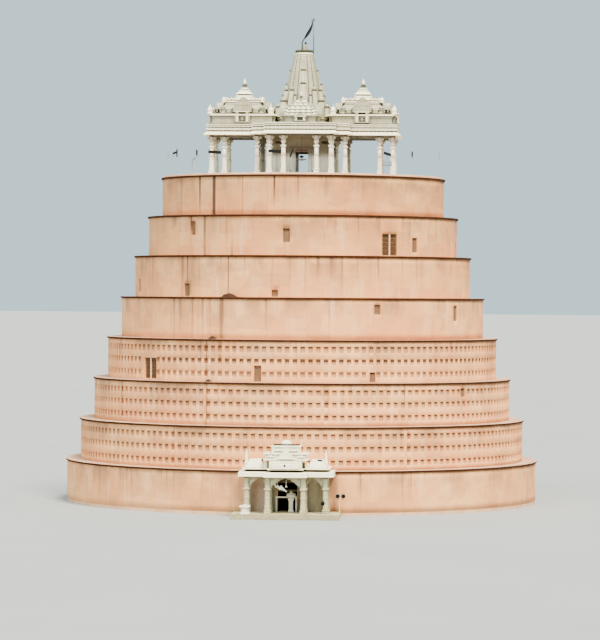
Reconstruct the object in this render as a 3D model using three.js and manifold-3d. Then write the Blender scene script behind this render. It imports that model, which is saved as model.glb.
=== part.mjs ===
// Stepped round tower temple with a pillared shrine on its summit and an entrance porch.
// Scale model at 1:2. Every driving dimension is the full-size one in millimetres.
// +Z is up, the porch faces -Y, and the origin is on the tower's axis at ground level.
import * as THREE from 'three';
import { mergeVertices } from 'three/addons/utils/BufferGeometryUtils.js';
import Module from 'manifold-3d';

const wasm = await Module();
wasm.setup();

// Scale
const SCALE = 1 / 2;
const real = (millimetres) => millimetres * SCALE;
const JOINT_GAP = 0.3;

// Tower
const TIERS = 8;
const TERRACE_TOPS = [4315, 8480, 12665, 16820, 20925, 25070, 29105, 33100].map(real);
const TIER_STEP = real(1375);
const BASE_RADIUS = real(24130);
const WALL = real(450);
const TERRACE_THICKNESS = real(180);
const TERRACE_LIP = real(140);
const FLOOR_TOP = real(300);
const TOWER_SIDES = 36;
const COLUMN_SIDES = 6;
const KERB_HEIGHT = real(190);
const KERB_WIDTH = real(220);
const KERB_INSET = real(260);

// Windows: tier, bearing from the porch towards +X in degrees, width, sill above the ground, height
const WINDOWS = [
  [7, -40.4, 560, 27070, 1400],
  [7, -2.8, 690, 26370, 1350],
  [7, 35.9, 1780, 25140, 2140],
  [7, 47.7, 740, 25490, 1450],
  [7, 82.6, 740, 25140, 1230],
  [6, -71, 740, 21365, 1310],
  [6, -38.6, 740, 20995, 1250],
  [6, -6, 640, 20995, 670],
  [5, 26.3, 660, 19320, 960],
  [5, 58.2, 640, 18670, 1520],
  [4, -45.6, 1840, 12815, 2040],
  [4, -9.4, 720, 12735, 1530],
  [4, 23.2, 600, 12745, 950],
  [3, 51.1, 660, 11230, 820],
];

// Doorway behind the porch
const DOOR_HALF_WIDTH = real(1050);
const DOOR_HEAD = real(3300);

// Porch
const PORCH_FLOOR = real(450);
const PORCH_HALF_WIDTH = real(5100);
const PORCH_FRONT = real(28700);
const STEP_COUNT = 3;
const STEP_TREAD = real(360);
const PILLAR_HALF = real(260);
const BAY_INNER_X = real(1700);
const BAY_OUTER_X = real(3760);
const BAY_FRONT_Y = real(27800);
const BAY_SIDE_Y = real(26600);
const PILASTER_Y = real(24500);
const RING_Z = real(2700);
const ARCH_SPRING = real(2880);
const ARCH_RISE = real(920);
const PORCH_BEAM_Z = real(3520);
const PORCH_EAVE_Z = real(3920);
const PORCH_EAVE_TOP = real(4450);
const PORCH_GROOVE_TOP = real(4600);
const PORCH_CORNICE_TOP = real(4750);
const PORCH_EAVE_OUT = real(800);

// Summit temple, heights above the top of the highest wall, which carries the summit terrace
const SUMMIT = TERRACE_TOPS[TIERS - 1];
const above = (millimetres) => SUMMIT - TERRACE_THICKNESS + real(millimetres);
const PLINTH_TOP = above(600);
const BEAM_BOTTOM = above(4360);
const EAVE_BOTTOM = above(4560);
const EAVE_TOP = above(4940);
const CORNICE_TOP = above(5700);
const EAVE_OVERHANG = real(800);
const EAVE_SLOPE_RUN = real(420);
const COLUMN_RADIUS = real(200);
const BEAM_HALF = real(230);
const SANCTUM_HALF = real(3100);
const SANCTUM_WALL = real(400);
const SANCTUM_DOOR_HALF = real(650);
const SANCTUM_DOOR_HEAD = above(2900);

// Column lines of the summit temple, out from its centre
const ARM_END = real(9280);
const ARM_SECOND = real(7950);
const ARM_HALF = real(3140);
const ARM_INNER = real(1670);
const CROSS_X = real(4470);
const CROSS_Y = real(4950);
const PORTICO_END = real(6900);

// Finishes
const rose = () => new THREE.MeshStandardMaterial({ color: 0xd9b595, roughness: 0.9, metalness: 0 });
const lip = () => new THREE.MeshStandardMaterial({ color: 0xc7a182, roughness: 0.9, metalness: 0 });
const marble = () => new THREE.MeshStandardMaterial({ color: 0xe9e4d6, roughness: 0.6, metalness: 0 });
const metal = () => new THREE.MeshStandardMaterial({ color: 0x55564f, roughness: 0.5, metalness: 0.8 });
const cloth = () => new THREE.MeshStandardMaterial({ color: 0x2b3034, roughness: 0.95, metalness: 0 });

const temple = new THREE.Group();

// Solids
function signedVolume(positions, index) {
  let sum = 0;
  const a = new THREE.Vector3();
  const b = new THREE.Vector3();
  const c = new THREE.Vector3();
  for (let i = 0; i < index.length; i += 3) {
    a.fromArray(positions, index[i] * 3);
    b.fromArray(positions, index[i + 1] * 3);
    c.fromArray(positions, index[i + 2] * 3);
    sum += a.dot(b.cross(c));
  }
  return sum;
}

function solid(geometry) {
  const bare = geometry.clone();
  bare.deleteAttribute('normal');
  bare.deleteAttribute('uv');
  const welded = mergeVertices(bare, 0.001);
  const positions = Float32Array.from(welded.attributes.position.array);
  const kept = [];
  const source = welded.index.array;
  for (let i = 0; i < source.length; i += 3) {
    const [p, q, r] = [source[i], source[i + 1], source[i + 2]];
    if (p !== q && q !== r && r !== p) kept.push(p, q, r);
  }
  if (signedVolume(positions, kept) < 0) kept.reverse();
  const triVerts = Uint32Array.from(kept);
  return new wasm.Manifold(new wasm.Mesh({ numProp: 3, vertProperties: positions, triVerts }));
}

function join(parts) {
  return parts.reduce((whole, part) => whole.add(part));
}

function node(name, shape, material) {
  const mesh = shape.getMesh();
  const geometry = new THREE.BufferGeometry();
  geometry.setAttribute('position', new THREE.BufferAttribute(mesh.vertProperties, 3));
  geometry.setIndex(new THREE.BufferAttribute(mesh.triVerts, 1));
  const part = new THREE.Mesh(geometry, material);
  part.name = name;
  temple.add(part);
}

function box(x0, x1, y0, y1, z0, z1) {
  const geometry = new THREE.BoxGeometry(x1 - x0, y1 - y0, z1 - z0);
  geometry.translate((x0 + x1) / 2, (y0 + y1) / 2, (z0 + z1) / 2);
  return solid(geometry);
}

// A block centred on x and y
function block(halfX, halfY, z0, z1, x = 0, y = 0) {
  return box(x - halfX, x + halfX, y - halfY, y + halfY, z0, z1);
}

// A block whose half widths follow spread(t), with t from 0 at the bottom to 1 at the top
function lofted(z0, z1, stages, spread, x = 0, y = 0) {
  const geometry = new THREE.BoxGeometry(2, 2, z1 - z0, 1, 1, stages);
  const positions = geometry.attributes.position;
  for (let i = 0; i < positions.count; i += 1) {
    const t = positions.getZ(i) / (z1 - z0) + 0.5;
    const [halfX, halfY, shiftX = 0, shiftY = 0] = spread(t);
    positions.setX(i, x + shiftX + positions.getX(i) * halfX);
    positions.setY(i, y + shiftY + positions.getY(i) * halfY);
  }
  geometry.translate(0, 0, (z0 + z1) / 2);
  return solid(geometry);
}

function tapered(halfX, halfY, z0, z1, inset, x = 0, y = 0) {
  return lofted(z0, z1, 1, (t) => [halfX - inset * t, halfY - inset * t], x, y);
}

// A turned solid from [radius, height] pairs, its first corner towards the porch
function turned(profile, sides, x = 0, y = 0) {
  const points = profile.map(([radius, height]) => new THREE.Vector2(radius, height));
  const geometry = new THREE.LatheGeometry(points, sides);
  geometry.rotateX(Math.PI / 2);
  geometry.translate(x, y, 0);
  return solid(geometry);
}

function disc(radius, z0, z1, sides = TOWER_SIDES) {
  return turned([[0, z0], [radius, z0], [radius, z1], [0, z1]], sides);
}

function ring(outer, inner, z0, z1) {
  return turned([[outer, z0], [outer, z1], [inner, z1], [inner, z0], [outer, z0]], TOWER_SIDES);
}

// An upright plate: shape drawn in X and Z, from y0 to y1
function plate(shape, y0, y1, curveSegments = 4) {
  const geometry = new THREE.ExtrudeGeometry(shape, { depth: y1 - y0, bevelEnabled: false, curveSegments });
  geometry.rotateX(Math.PI / 2);
  geometry.translate(0, y1, 0);
  return solid(geometry);
}

function outline(points) {
  return new THREE.Shape(points.map(([x, z]) => new THREE.Vector2(x, z)));
}

// Four-fold copies about the axis
function turnedCopies(shape, turns = [0, 90, 180, 270]) {
  return join(turns.map((turn) => shape.rotate([0, 0, turn])));
}

// Tower walls, terraces and floor
const wallRadius = (tier) => BASE_RADIUS - TIER_STEP * (tier - 1);
const REACH = BASE_RADIUS * 1.5;

function windowCut(tier, bearing, width, sill, height) {
  const middle = wallRadius(tier) - WALL / 2;
  const low = real(sill);
  const hole = box(-real(width) / 2, real(width) / 2, -middle - WALL, -middle + WALL, low, low + real(height));
  return hole.rotate([0, 0, bearing]);
}

function tierWall(tier) {
  const bottom = tier === 1 ? FLOOR_TOP : TERRACE_TOPS[tier - 2];
  const top = TERRACE_TOPS[tier - 1] - TERRACE_THICKNESS;
  let wall = ring(wallRadius(tier), wallRadius(tier) - WALL, bottom, top);
  for (const [storey, bearing, width, sill, height] of WINDOWS) {
    if (storey === tier) {
      wall = wall.subtract(windowCut(tier, bearing, width, sill, height));
      wall = wall.subtract(windowCut(tier, bearing + 180, width, sill, height));
    }
  }
  return wall;
}

node('ground_floor', disc(BASE_RADIUS, 0, FLOOR_TOP), lip());
for (let tier = 1; tier <= TIERS; tier += 1) {
  let wall = tierWall(tier);
  if (tier === 1) {
    const doorway = box(-DOOR_HALF_WIDTH, DOOR_HALF_WIDTH, -REACH, -BASE_RADIUS / 2, 0, DOOR_HEAD);
    wall = wall.subtract(doorway);
  }
  const front = box(-REACH, REACH, -REACH, 0, -REACH, 2 * SUMMIT);
  node(`tier_${tier}_front_wall`, wall.intersect(front), rose());
  node(`tier_${tier}_back_wall`, wall.subtract(front), rose());
  const terraceTop = TERRACE_TOPS[tier - 1];
  node(`terrace_${tier}`, disc(wallRadius(tier) + TERRACE_LIP, terraceTop - TERRACE_THICKNESS, terraceTop), lip());
}

// Low kerb round the summit terrace
const kerbOuter = wallRadius(TIERS) + TERRACE_LIP - KERB_INSET;
const kerb = ring(kerbOuter, kerbOuter - KERB_WIDTH, SUMMIT, SUMMIT + KERB_HEIGHT);
const kerbFront = box(-REACH, REACH, -REACH, 0, SUMMIT - 1, SUMMIT + KERB_HEIGHT + 1);
node('kerb_front', kerb.intersect(kerbFront), rose());
node('kerb_back', kerb.subtract(kerbFront), rose());

// Summit temple: the three nested rectangles of its cross-shaped plan, as half widths
const PLAN = [
  [ARM_END, ARM_HALF],
  [CROSS_X, CROSS_Y],
  [ARM_HALF, PORTICO_END],
];

function crossBlock(grow, z0, z1) {
  return join(PLAN.map(([halfX, halfY]) => block(halfX + grow, halfY + grow, z0, z1)));
}

function crossTaper(grow, z0, z1, inset) {
  return join(PLAN.map(([halfX, halfY]) => tapered(halfX + grow, halfY + grow, z0, z1, inset)));
}

const PLINTH_RISER = (PLINTH_TOP - SUMMIT) / 3;
const plinth = join([
  crossBlock(real(1000), SUMMIT, SUMMIT + PLINTH_RISER),
  crossBlock(real(700), SUMMIT, SUMMIT + 2 * PLINTH_RISER),
  crossBlock(real(400), SUMMIT, PLINTH_TOP),
]);
node('temple_plinth', plinth, marble());

// Sanctum with a doorway in each side
const sanctumDoor = box(
  -SANCTUM_DOOR_HALF, SANCTUM_DOOR_HALF, -2 * SANCTUM_HALF, 2 * SANCTUM_HALF, PLINTH_TOP - 1, SANCTUM_DOOR_HEAD,
);
const sanctumRoom = block(SANCTUM_HALF - SANCTUM_WALL, SANCTUM_HALF - SANCTUM_WALL, PLINTH_TOP - 1, EAVE_BOTTOM + 1);
const sanctum = block(SANCTUM_HALF, SANCTUM_HALF, PLINTH_TOP, EAVE_BOTTOM)
  .subtract(sanctumRoom)
  .subtract(sanctumDoor)
  .subtract(sanctumDoor.rotate([0, 0, 90]));
node('sanctum_walls', sanctum, marble());

// Columns: square base, faceted shaft with a ring, and a spreading bracket under the beams
const BASE_HALF = real(280);
const BASE_TOP = above(950);
const COLUMN_RING_Z = above(3340);
const RING_RADIUS = real(300);
const RING_HALF_HEIGHT = real(90);
const BRACKET_Z = above(3790);
const BRACKET_REACH = real(480);
const BRACKET_FOOT = real(190);

function column(x, y) {
  const shaft = turned([
    [0, BASE_TOP], [COLUMN_RADIUS, BASE_TOP], [COLUMN_RADIUS, COLUMN_RING_Z - RING_HALF_HEIGHT],
    [RING_RADIUS, COLUMN_RING_Z], [COLUMN_RADIUS, COLUMN_RING_Z + RING_HALF_HEIGHT],
    [COLUMN_RADIUS, BRACKET_Z], [0, BRACKET_Z],
  ], COLUMN_SIDES, x, y);
  const spread = (t) => {
    const half = BRACKET_FOOT + (BRACKET_REACH - BRACKET_FOOT) * t;
    return [half, half];
  };
  return join([
    block(BASE_HALF, BASE_HALF, PLINTH_TOP, BASE_TOP, x, y),
    shaft,
    lofted(BRACKET_Z, BEAM_BOTTOM, 1, spread, x, y),
  ]);
}

function beam(x0, y0, x1, y1) {
  return box(
    Math.min(x0, x1) - BEAM_HALF, Math.max(x0, x1) + BEAM_HALF,
    Math.min(y0, y1) - BEAM_HALF, Math.max(y0, y1) + BEAM_HALF,
    BEAM_BOTTOM, EAVE_BOTTOM,
  );
}

// The portico stands towards -Y, and its beams stop short of the arms' beams
function portico() {
  const parts = [beam(-ARM_HALF, -PORTICO_END, ARM_HALF, -PORTICO_END)];
  for (const side of [-1, 1]) {
    parts.push(column(side * ARM_INNER, -PORTICO_END));
    parts.push(column(side * ARM_HALF, -PORTICO_END));
    parts.push(column(side * ARM_HALF, -CROSS_Y));
    parts.push(column(side * CROSS_X, -CROSS_Y));
    parts.push(beam(side * ARM_HALF, -PORTICO_END, side * ARM_HALF, -CROSS_Y));
    parts.push(beam(side * ARM_HALF, -CROSS_Y, side * CROSS_X, -CROSS_Y));
    const stop = -ARM_HALF - 2 * BEAM_HALF - JOINT_GAP;
    parts.push(beam(side * CROSS_X, -CROSS_Y, side * CROSS_X, stop));
  }
  return join(parts);
}

// The arm stands towards -X
function arm() {
  const parts = [beam(-ARM_END, -ARM_HALF, -ARM_END, ARM_HALF)];
  for (const side of [-1, 1]) {
    parts.push(column(-ARM_END, side * ARM_INNER));
    parts.push(column(-ARM_END, side * ARM_HALF));
    parts.push(column(-ARM_SECOND, side * ARM_HALF));
    parts.push(column(-CROSS_X, side * ARM_HALF));
    parts.push(beam(-ARM_END, side * ARM_HALF, -CROSS_X, side * ARM_HALF));
  }
  return join(parts);
}

node('front_portico', portico(), marble());
node('back_portico', portico().rotate([0, 0, 180]), marble());
node('left_arm_columns', arm(), marble());
node('right_arm_columns', arm().rotate([0, 0, 180]), marble());

// Eaves slab with sloping edge, and the banded cornice on it
const EAVE_EDGE = real(90);
const eaves = join([
  crossBlock(EAVE_OVERHANG, EAVE_BOTTOM, EAVE_BOTTOM + EAVE_EDGE),
  crossTaper(EAVE_OVERHANG, EAVE_BOTTOM + EAVE_EDGE, EAVE_TOP, EAVE_SLOPE_RUN),
]);
node('temple_eaves', eaves, marble());

const BAND = real(520);
const GROOVE = real(420);
const cornice = join([
  crossBlock(GROOVE, EAVE_TOP, CORNICE_TOP),
  crossBlock(BAND, above(5060), above(5280)),
  crossBlock(BAND, above(5380), CORNICE_TOP),
]);
node('temple_cornice', cornice, marble());

// Small spires on the corners of the roofs
function cornerSpire(x, y, z, half, height) {
  return join([
    block(half, half, z, z + height * 0.5, x, y),
    lofted(z + height * 0.5, z + height, 1, (t) => [half * (1 - 0.9 * t), half * (1 - 0.9 * t)], x, y),
  ]);
}

// Stepped roof over a side arm: [bottom, top, half width, inset at the top] of each storey and slab
const ARM_ROOF_X = real(6130);
const ARM_ROOF_STOREYS = [
  [5700, 6480, 3400, 0], [6480, 6560, 3300, 0], [6560, 6720, 3580, 0], [6720, 6820, 3200, 0],
  [6820, 7860, 2700, 320], [7860, 7940, 1900, 0], [7940, 8060, 2050, 0], [8060, 8180, 1600, 0],
  [8180, 8300, 1780, 0], [8300, 8700, 1250, 300], [8700, 8770, 600, 0], [8770, 8880, 850, 0],
  [8880, 9200, 600, 180], [9200, 9260, 300, 0], [9260, 9360, 420, 0],
];

function storeys(list) {
  return join(list.map(([low, high, half, inset = 0]) => tapered(
    real(half), real(half), above(low), above(high), real(inset),
  )));
}

function roofFinial(bottom, top, radius) {
  const rise = top - bottom;
  return turned([
    [0, bottom], [radius * 0.6, bottom], [radius, bottom + rise * 0.12],
    [radius * 0.5, bottom + rise * 0.25], [radius * 0.75, bottom + rise * 0.4], [0, top],
  ], 6);
}

// Gable with a niche below it, on the -Y side of a roof. It steps back with the roof:
// each stage is [bottom, top, half width at the bottom, half width at the top, face in from faceY].
function gable(faceY, halfWidth, nicheLow, nicheHigh, stages) {
  const back = real(900);
  const parts = stages.map(([low, high, foot, head, inset]) => plate(outline([
    [-real(foot), above(low)], [real(foot), above(low)], [real(head), above(high)], [-real(head), above(high)],
  ]), -faceY + real(inset), -faceY + real(inset) + 1.6 * back));
  const frame = box(
    -real(halfWidth), real(halfWidth), -faceY, -faceY + back, above(nicheLow), above(nicheHigh),
  );
  const recess = box(
    -real(280), real(280), -faceY - 1, -faceY + real(160), above(nicheLow + 150), above(nicheHigh - 130),
  );
  return join([...parts, frame]).subtract(recess);
}

const ARM_GABLE = [[6950, 7550, 880, 860, 120], [7550, 8060, 860, 560, 750], [8060, 8560, 560, 40, 1450]];
const PORTICO_GABLE = [[6350, 6850, 420, 260, 60], [6850, 7300, 260, 20, 250]];

// The corner spires on the side towards the central spire stand further in
const CORNER_OUTER = real(3300);
const CORNER_INNER = real(2950);
const CORNER_SIDE = real(3300);
const CORNER_UPPER = real(2000);

function armRoof() {
  const spires = [];
  for (const side of [-1, 1]) {
    spires.push(cornerSpire(-CORNER_OUTER, side * CORNER_SIDE, above(6720), real(280), real(930)));
    spires.push(cornerSpire(CORNER_INNER, side * CORNER_SIDE, above(6720), real(280), real(930)));
    spires.push(cornerSpire(-CORNER_UPPER, side * CORNER_UPPER, above(8060), real(200), real(460)));
    spires.push(cornerSpire(CORNER_UPPER, side * CORNER_UPPER, above(8060), real(200), real(460)));
  }
  const wing = box(-real(1600), real(1600), -real(3100), -real(2300), above(6720), above(7400));
  return join([
    storeys(ARM_ROOF_STOREYS),
    ...spires,
    turnedCopies(join([wing, gable(real(3680), 760, 5850, 6950, ARM_GABLE)])),
    roofFinial(above(9360), above(10450), real(300)),
  ]);
}

// Stepped roof over the front and back porticos
const PORTICO_ROOF_Y = real(5000);
const PORTICO_ROOF_STOREYS = [
  [5700, 6350, 1900], [6350, 6480, 2200], [6480, 6700, 1900], [6700, 6820, 2000],
  [6820, 7150, 1600], [7150, 7270, 1700], [7270, 7550, 1250], [7550, 7670, 1350],
  [7670, 8000, 850], [8000, 8100, 950], [8100, 8350, 400],
];

function porticoRoof() {
  const spires = [];
  for (const side of [-1, 1]) {
    spires.push(cornerSpire(side * real(1830), -real(1830), above(6820), real(150), real(520)));
  }
  const cutBack = block(real(4000), real(4000), above(5000), above(9000), 0, real(4000) + real(2000));
  return join([
    storeys(PORTICO_ROOF_STOREYS),
    ...spires,
    gable(real(2250), 420, 5800, 6350, PORTICO_GABLE),
    roofFinial(above(8350), above(9000), real(220)),
  ]).subtract(cutBack);
}

// Central spire: base, tall curved tower with offsets, half-spires on each face and corner spires
const SPIRE_BASE_HALF = real(2850);
const SPIRE_TOP = above(13050);
const SPIRE_FOOT = above(6500);
const spireHalf = (t) => real(2150) - real(1240) * t ** 1.1;

function amalakaTip(z, radius, x, y) {
  return turned([
    [0, z], [radius * 0.7, z], [radius, z + radius * 0.3], [radius * 0.3, z + radius * 0.65],
    [0, z + radius * 1.6],
  ], 6, x, y);
}

// A half-spire leaning on the -Y face: out from the axis at its foot and at its tip
function halfSpire(top, outFoot, outTop, halfFoot, halfTop) {
  const foot = SPIRE_FOOT;
  return join([
    lofted(foot, above(top), 3, (t) => [
      real(halfFoot + (halfTop - halfFoot) * t ** 1.2),
      real(halfFoot + (halfTop - halfFoot) * t ** 1.2),
      0, -real(outFoot + (outTop - outFoot) * t),
    ]),
    amalakaTip(above(top), real(halfTop), 0, -real(outTop)),
  ]);
}

function cornerHalfSpire(top, out, halfFoot, halfTop) {
  return join([
    lofted(SPIRE_FOOT, above(top), 2, (t) => [
      real(halfFoot + (halfTop - halfFoot) * t), real(halfFoot + (halfTop - halfFoot) * t),
    ], -real(out), -real(out)),
    amalakaTip(above(top), real(halfTop), -real(out), -real(out)),
  ]);
}

const spireBase = join([
  block(SPIRE_BASE_HALF, SPIRE_BASE_HALF - real(500), CORNICE_TOP, SPIRE_FOOT),
  block(SPIRE_BASE_HALF - real(500), SPIRE_BASE_HALF, CORNICE_TOP, SPIRE_FOOT),
]);
const spireBody = join([
  lofted(SPIRE_FOOT, SPIRE_TOP, 5, (t) => [spireHalf(t), spireHalf(t)]),
  lofted(SPIRE_FOOT, SPIRE_TOP, 5, (t) => [spireHalf(t) * 0.55, spireHalf(t) * 1.1]),
  lofted(SPIRE_FOOT, SPIRE_TOP, 5, (t) => [spireHalf(t) * 1.1, spireHalf(t) * 0.55]),
]);
const faceSpires = turnedCopies(join([
  halfSpire(11200, 1700, 1350, 780, 330),
  halfSpire(9750, 2150, 1800, 620, 280),
]));
const cornerSpires = turnedCopies(cornerHalfSpire(9100, 1750, 520, 250));
const shikhara = join([spireBase, spireBody, faceSpires, cornerSpires]);

// The arm roofs and portico roofs are cut back where the spire's base stands
const spireEnvelope = block(
  SPIRE_BASE_HALF + JOINT_GAP, SPIRE_BASE_HALF + JOINT_GAP, CORNICE_TOP - 1, SPIRE_TOP,
);
const leftRoof = armRoof().translate([-ARM_ROOF_X, 0, 0]).subtract(spireEnvelope);
node('left_arm_roof', leftRoof, marble());
node('right_arm_roof', leftRoof.rotate([0, 0, 180]), marble());
const frontRoof = porticoRoof().translate([0, -PORTICO_ROOF_Y, 0]).subtract(spireEnvelope);
node('front_portico_roof', frontRoof, marble());
node('back_portico_roof', frontRoof.rotate([0, 0, 180]), marble());
node('spire', shikhara, marble());

// Crown of the spire: neck, ribbed disc and pot finial
const CROWN_RADIUS = real(860);
const crown = turned([
  [0, SPIRE_TOP], [real(930), SPIRE_TOP], [real(930), above(13220)], [real(640), above(13280)],
  [CROWN_RADIUS, above(13360)], [CROWN_RADIUS, above(13480)], [real(330), above(13560)],
  [real(360), above(13900)], [real(230), above(14060)], [real(280), above(14240)], [0, above(14480)],
], 12);
node('spire_crown', crown, marble());

// Flag pole on the crown's right edge, with a cross-bar, and the long pennant hung from it
const POLE_X = real(960);
const POLE_RADIUS = real(40);
const POLE_TOP = above(16850);
const poleShaft = turned([
  [0, SPIRE_TOP + real(20)], [POLE_RADIUS, SPIRE_TOP + real(20)], [POLE_RADIUS, POLE_TOP], [0, POLE_TOP],
], 8, POLE_X, 0);
const poleFoot = box(
  real(935), real(1010), -real(70), real(70), SPIRE_TOP + real(20), SPIRE_TOP + real(160),
);
const crossBar = block(real(190), real(45), above(16560), above(16650), POLE_X - real(60), 0);
const POLE_KNOB = turned([
  [0, above(16640)], [real(85), above(16700)], [real(85), above(16790)], [0, POLE_TOP],
], 8, POLE_X, 0);
const crownEnvelope = turned([
  [0, SPIRE_TOP - 1], [real(930) + JOINT_GAP, SPIRE_TOP - 1], [real(930) + JOINT_GAP, above(13220) + JOINT_GAP],
  [CROWN_RADIUS + JOINT_GAP, above(13300)], [CROWN_RADIUS + JOINT_GAP, above(13500)], [0, above(13560)],
], 12);
node('flag_pole', join([poleShaft, poleFoot, crossBar, POLE_KNOB]).subtract(crownEnvelope), metal());

// The pennant hangs from the cross-bar's end and swings in over the finial
const FLAG_TOP_X = real(800);
const FLAG_TAIL_X = -real(60);
const FLAG_HALF_DEPTH = real(170);
const flagShape = outline([
  [FLAG_TOP_X - real(60), above(16560) - JOINT_GAP], [FLAG_TOP_X + real(30), above(16560) - JOINT_GAP],
  [real(620), above(15560)], [FLAG_TAIL_X + real(50), above(14620)], [FLAG_TAIL_X, above(14620)],
  [real(330), above(15560)],
]);
node('flag', plate(flagShape, -FLAG_HALF_DEPTH, FLAG_HALF_DEPTH), cloth());

// Entrance porch. What stands against the tower is cut by this cylinder.
const [firstTerrace, secondTerrace] = TERRACE_TOPS;
const firstLip = firstTerrace - TERRACE_THICKNESS - JOINT_GAP;
const towerFace = turned([
  [0, -1], [BASE_RADIUS + JOINT_GAP, -1], [BASE_RADIUS + JOINT_GAP, firstLip],
  [BASE_RADIUS + TERRACE_LIP + JOINT_GAP, firstLip],
  [BASE_RADIUS + TERRACE_LIP + JOINT_GAP, firstTerrace + JOINT_GAP],
  [wallRadius(2) + JOINT_GAP, firstTerrace + JOINT_GAP],
  [wallRadius(2) + JOINT_GAP, secondTerrace], [0, secondTerrace],
], TOWER_SIDES);

const porchSteps = [];
for (let step = 0; step < STEP_COUNT; step += 1) {
  const top = PORCH_FLOOR * (STEP_COUNT - step) / STEP_COUNT;
  porchSteps.push(box(
    -PORCH_HALF_WIDTH, PORCH_HALF_WIDTH, -PORCH_FRONT - STEP_TREAD * step, -BASE_RADIUS + real(1000), 0, top,
  ));
}
node('porch_platform', join(porchSteps).subtract(towerFace), marble());

// A pillar: stepped base, square shaft, ring and spreading head
function porchPillar(x, y) {
  return join([
    block(PILLAR_HALF * 1.25, PILLAR_HALF * 1.25, PORCH_FLOOR, PORCH_FLOOR + real(350), x, -y),
    block(PILLAR_HALF, PILLAR_HALF, PORCH_FLOOR, PORCH_EAVE_Z, x, -y),
    block(PILLAR_HALF * 1.3, PILLAR_HALF * 1.3, RING_Z, RING_Z + real(130), x, -y),
  ]);
}

// Pointed and cusped arch plate between two pillars, drawn in X and Z. The lean, from -1 to 1, moves
// its point off the middle
const ARCH_HALF_DEPTH = real(130);
const ARCH_BULGE = real(60);
const CUSPS = 7;
const SIDE_ARCH_LEAN = 0.35;

function archPlate(x0, x1, y, lean = 0) {
  const half = (x1 - x0) / 2 - PILLAR_HALF;
  const middle = (x0 + x1) / 2;
  const away = (u) => Math.abs(u - lean) / (1 + Math.sign(lean - u) * lean);
  const at = (u, out) => [middle + half * u, ARCH_SPRING + ARCH_RISE * (1 - away(u) ** 1.5) + out];
  const shape = new THREE.Shape();
  shape.moveTo(x0, PORCH_EAVE_Z);
  shape.lineTo(x0, ARCH_SPRING);
  shape.lineTo(middle - half, ARCH_SPRING);
  for (let i = 0; i < CUSPS; i += 1) {
    const [cx, cz] = at((2 * i + 1) / CUSPS - 1, 2 * ARCH_BULGE);
    const [bx, bz] = at((2 * i + 2) / CUSPS - 1, 0);
    shape.quadraticCurveTo(cx, cz, bx, bz);
  }
  shape.lineTo(x1, ARCH_SPRING);
  shape.lineTo(x1, PORCH_EAVE_Z);
  shape.closePath();
  return plate(shape, -y - ARCH_HALF_DEPTH, -y + ARCH_HALF_DEPTH, 3);
}

function porchBeam(x0, x1, y0, y1) {
  return box(
    Math.min(x0, x1) - PILLAR_HALF, Math.max(x0, x1) + PILLAR_HALF,
    -Math.max(y0, y1) - PILLAR_HALF, -Math.min(y0, y1) + PILLAR_HALF,
    PORCH_BEAM_Z, PORCH_EAVE_Z,
  );
}

const frontArcade = join([
  porchPillar(-BAY_INNER_X, BAY_FRONT_Y),
  porchPillar(BAY_INNER_X, BAY_FRONT_Y),
  archPlate(-BAY_INNER_X, BAY_INNER_X, BAY_FRONT_Y),
]);
node('porch_front_arch', frontArcade, marble());

function sideArcade(side) {
  const [low, high] = side < 0 ? [-BAY_OUTER_X, -BAY_INNER_X] : [BAY_INNER_X, BAY_OUTER_X];
  const split = BAY_FRONT_Y - 2 * PILLAR_HALF - JOINT_GAP;
  return join([
    porchPillar(side * BAY_OUTER_X, BAY_SIDE_Y),
    porchPillar(side * BAY_INNER_X, BAY_SIDE_Y),
    porchPillar(side * BAY_OUTER_X, PILASTER_Y),
    porchPillar(side * BAY_INNER_X, PILASTER_Y),
    archPlate(low, high, BAY_SIDE_Y, -side * SIDE_ARCH_LEAN),
    porchBeam(side * BAY_OUTER_X, side * BAY_OUTER_X, BAY_SIDE_Y, PILASTER_Y),
    porchBeam(side * BAY_INNER_X, side * BAY_INNER_X, split, PILASTER_Y),
  ]).subtract(towerFace);
}

node('porch_left_arcade', sideArcade(-1), marble());
node('porch_right_arcade', sideArcade(1), marble());

// Porch eaves, cornice and roof; the middle bay stands forward
const PORCH_PLAN = [
  [BAY_OUTER_X, BAY_SIDE_Y],
  [BAY_INNER_X - real(400), BAY_FRONT_Y],
];

function porchBlock(grow, z0, z1, inset = 0) {
  const rear = wallRadius(2) - real(400);
  return join(PORCH_PLAN.map(([halfX, frontY]) => lofted(z0, z1, 1, (t) => {
    const out = grow - inset * t;
    return [halfX + out, (frontY + out - rear) / 2, 0, -(frontY + out + rear) / 2];
  })));
}

const porchEaves = porchBlock(PORCH_EAVE_OUT, PORCH_EAVE_Z, PORCH_EAVE_TOP, real(80));
node('porch_eaves', porchEaves.subtract(towerFace), marble());

const porchRoofLow = join([
  porchBlock(real(150), PORCH_EAVE_TOP, PORCH_GROOVE_TOP),
  porchBlock(real(420), PORCH_GROOVE_TOP, PORCH_CORNICE_TOP),
  ...[-1, 1].map((side) => tapered(
    real(890), real(1000), PORCH_CORNICE_TOP, real(5570), real(380), side * real(2960), -real(25900),
  )),
  ...[-1, 1].map((side) => cornerSpire(
    side * real(3780), -real(26400), PORCH_CORNICE_TOP, real(220), real(1780),
  )),
  block(real(1540), real(1900), PORCH_CORNICE_TOP - 1, real(5490), 0, -real(26300)),
  block(real(1300), real(2450), PORCH_CORNICE_TOP - 1, real(5200), 0, -real(26050)),
]);
node('porch_roof_lower', porchRoofLow.subtract(towerFace), marble());

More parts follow.
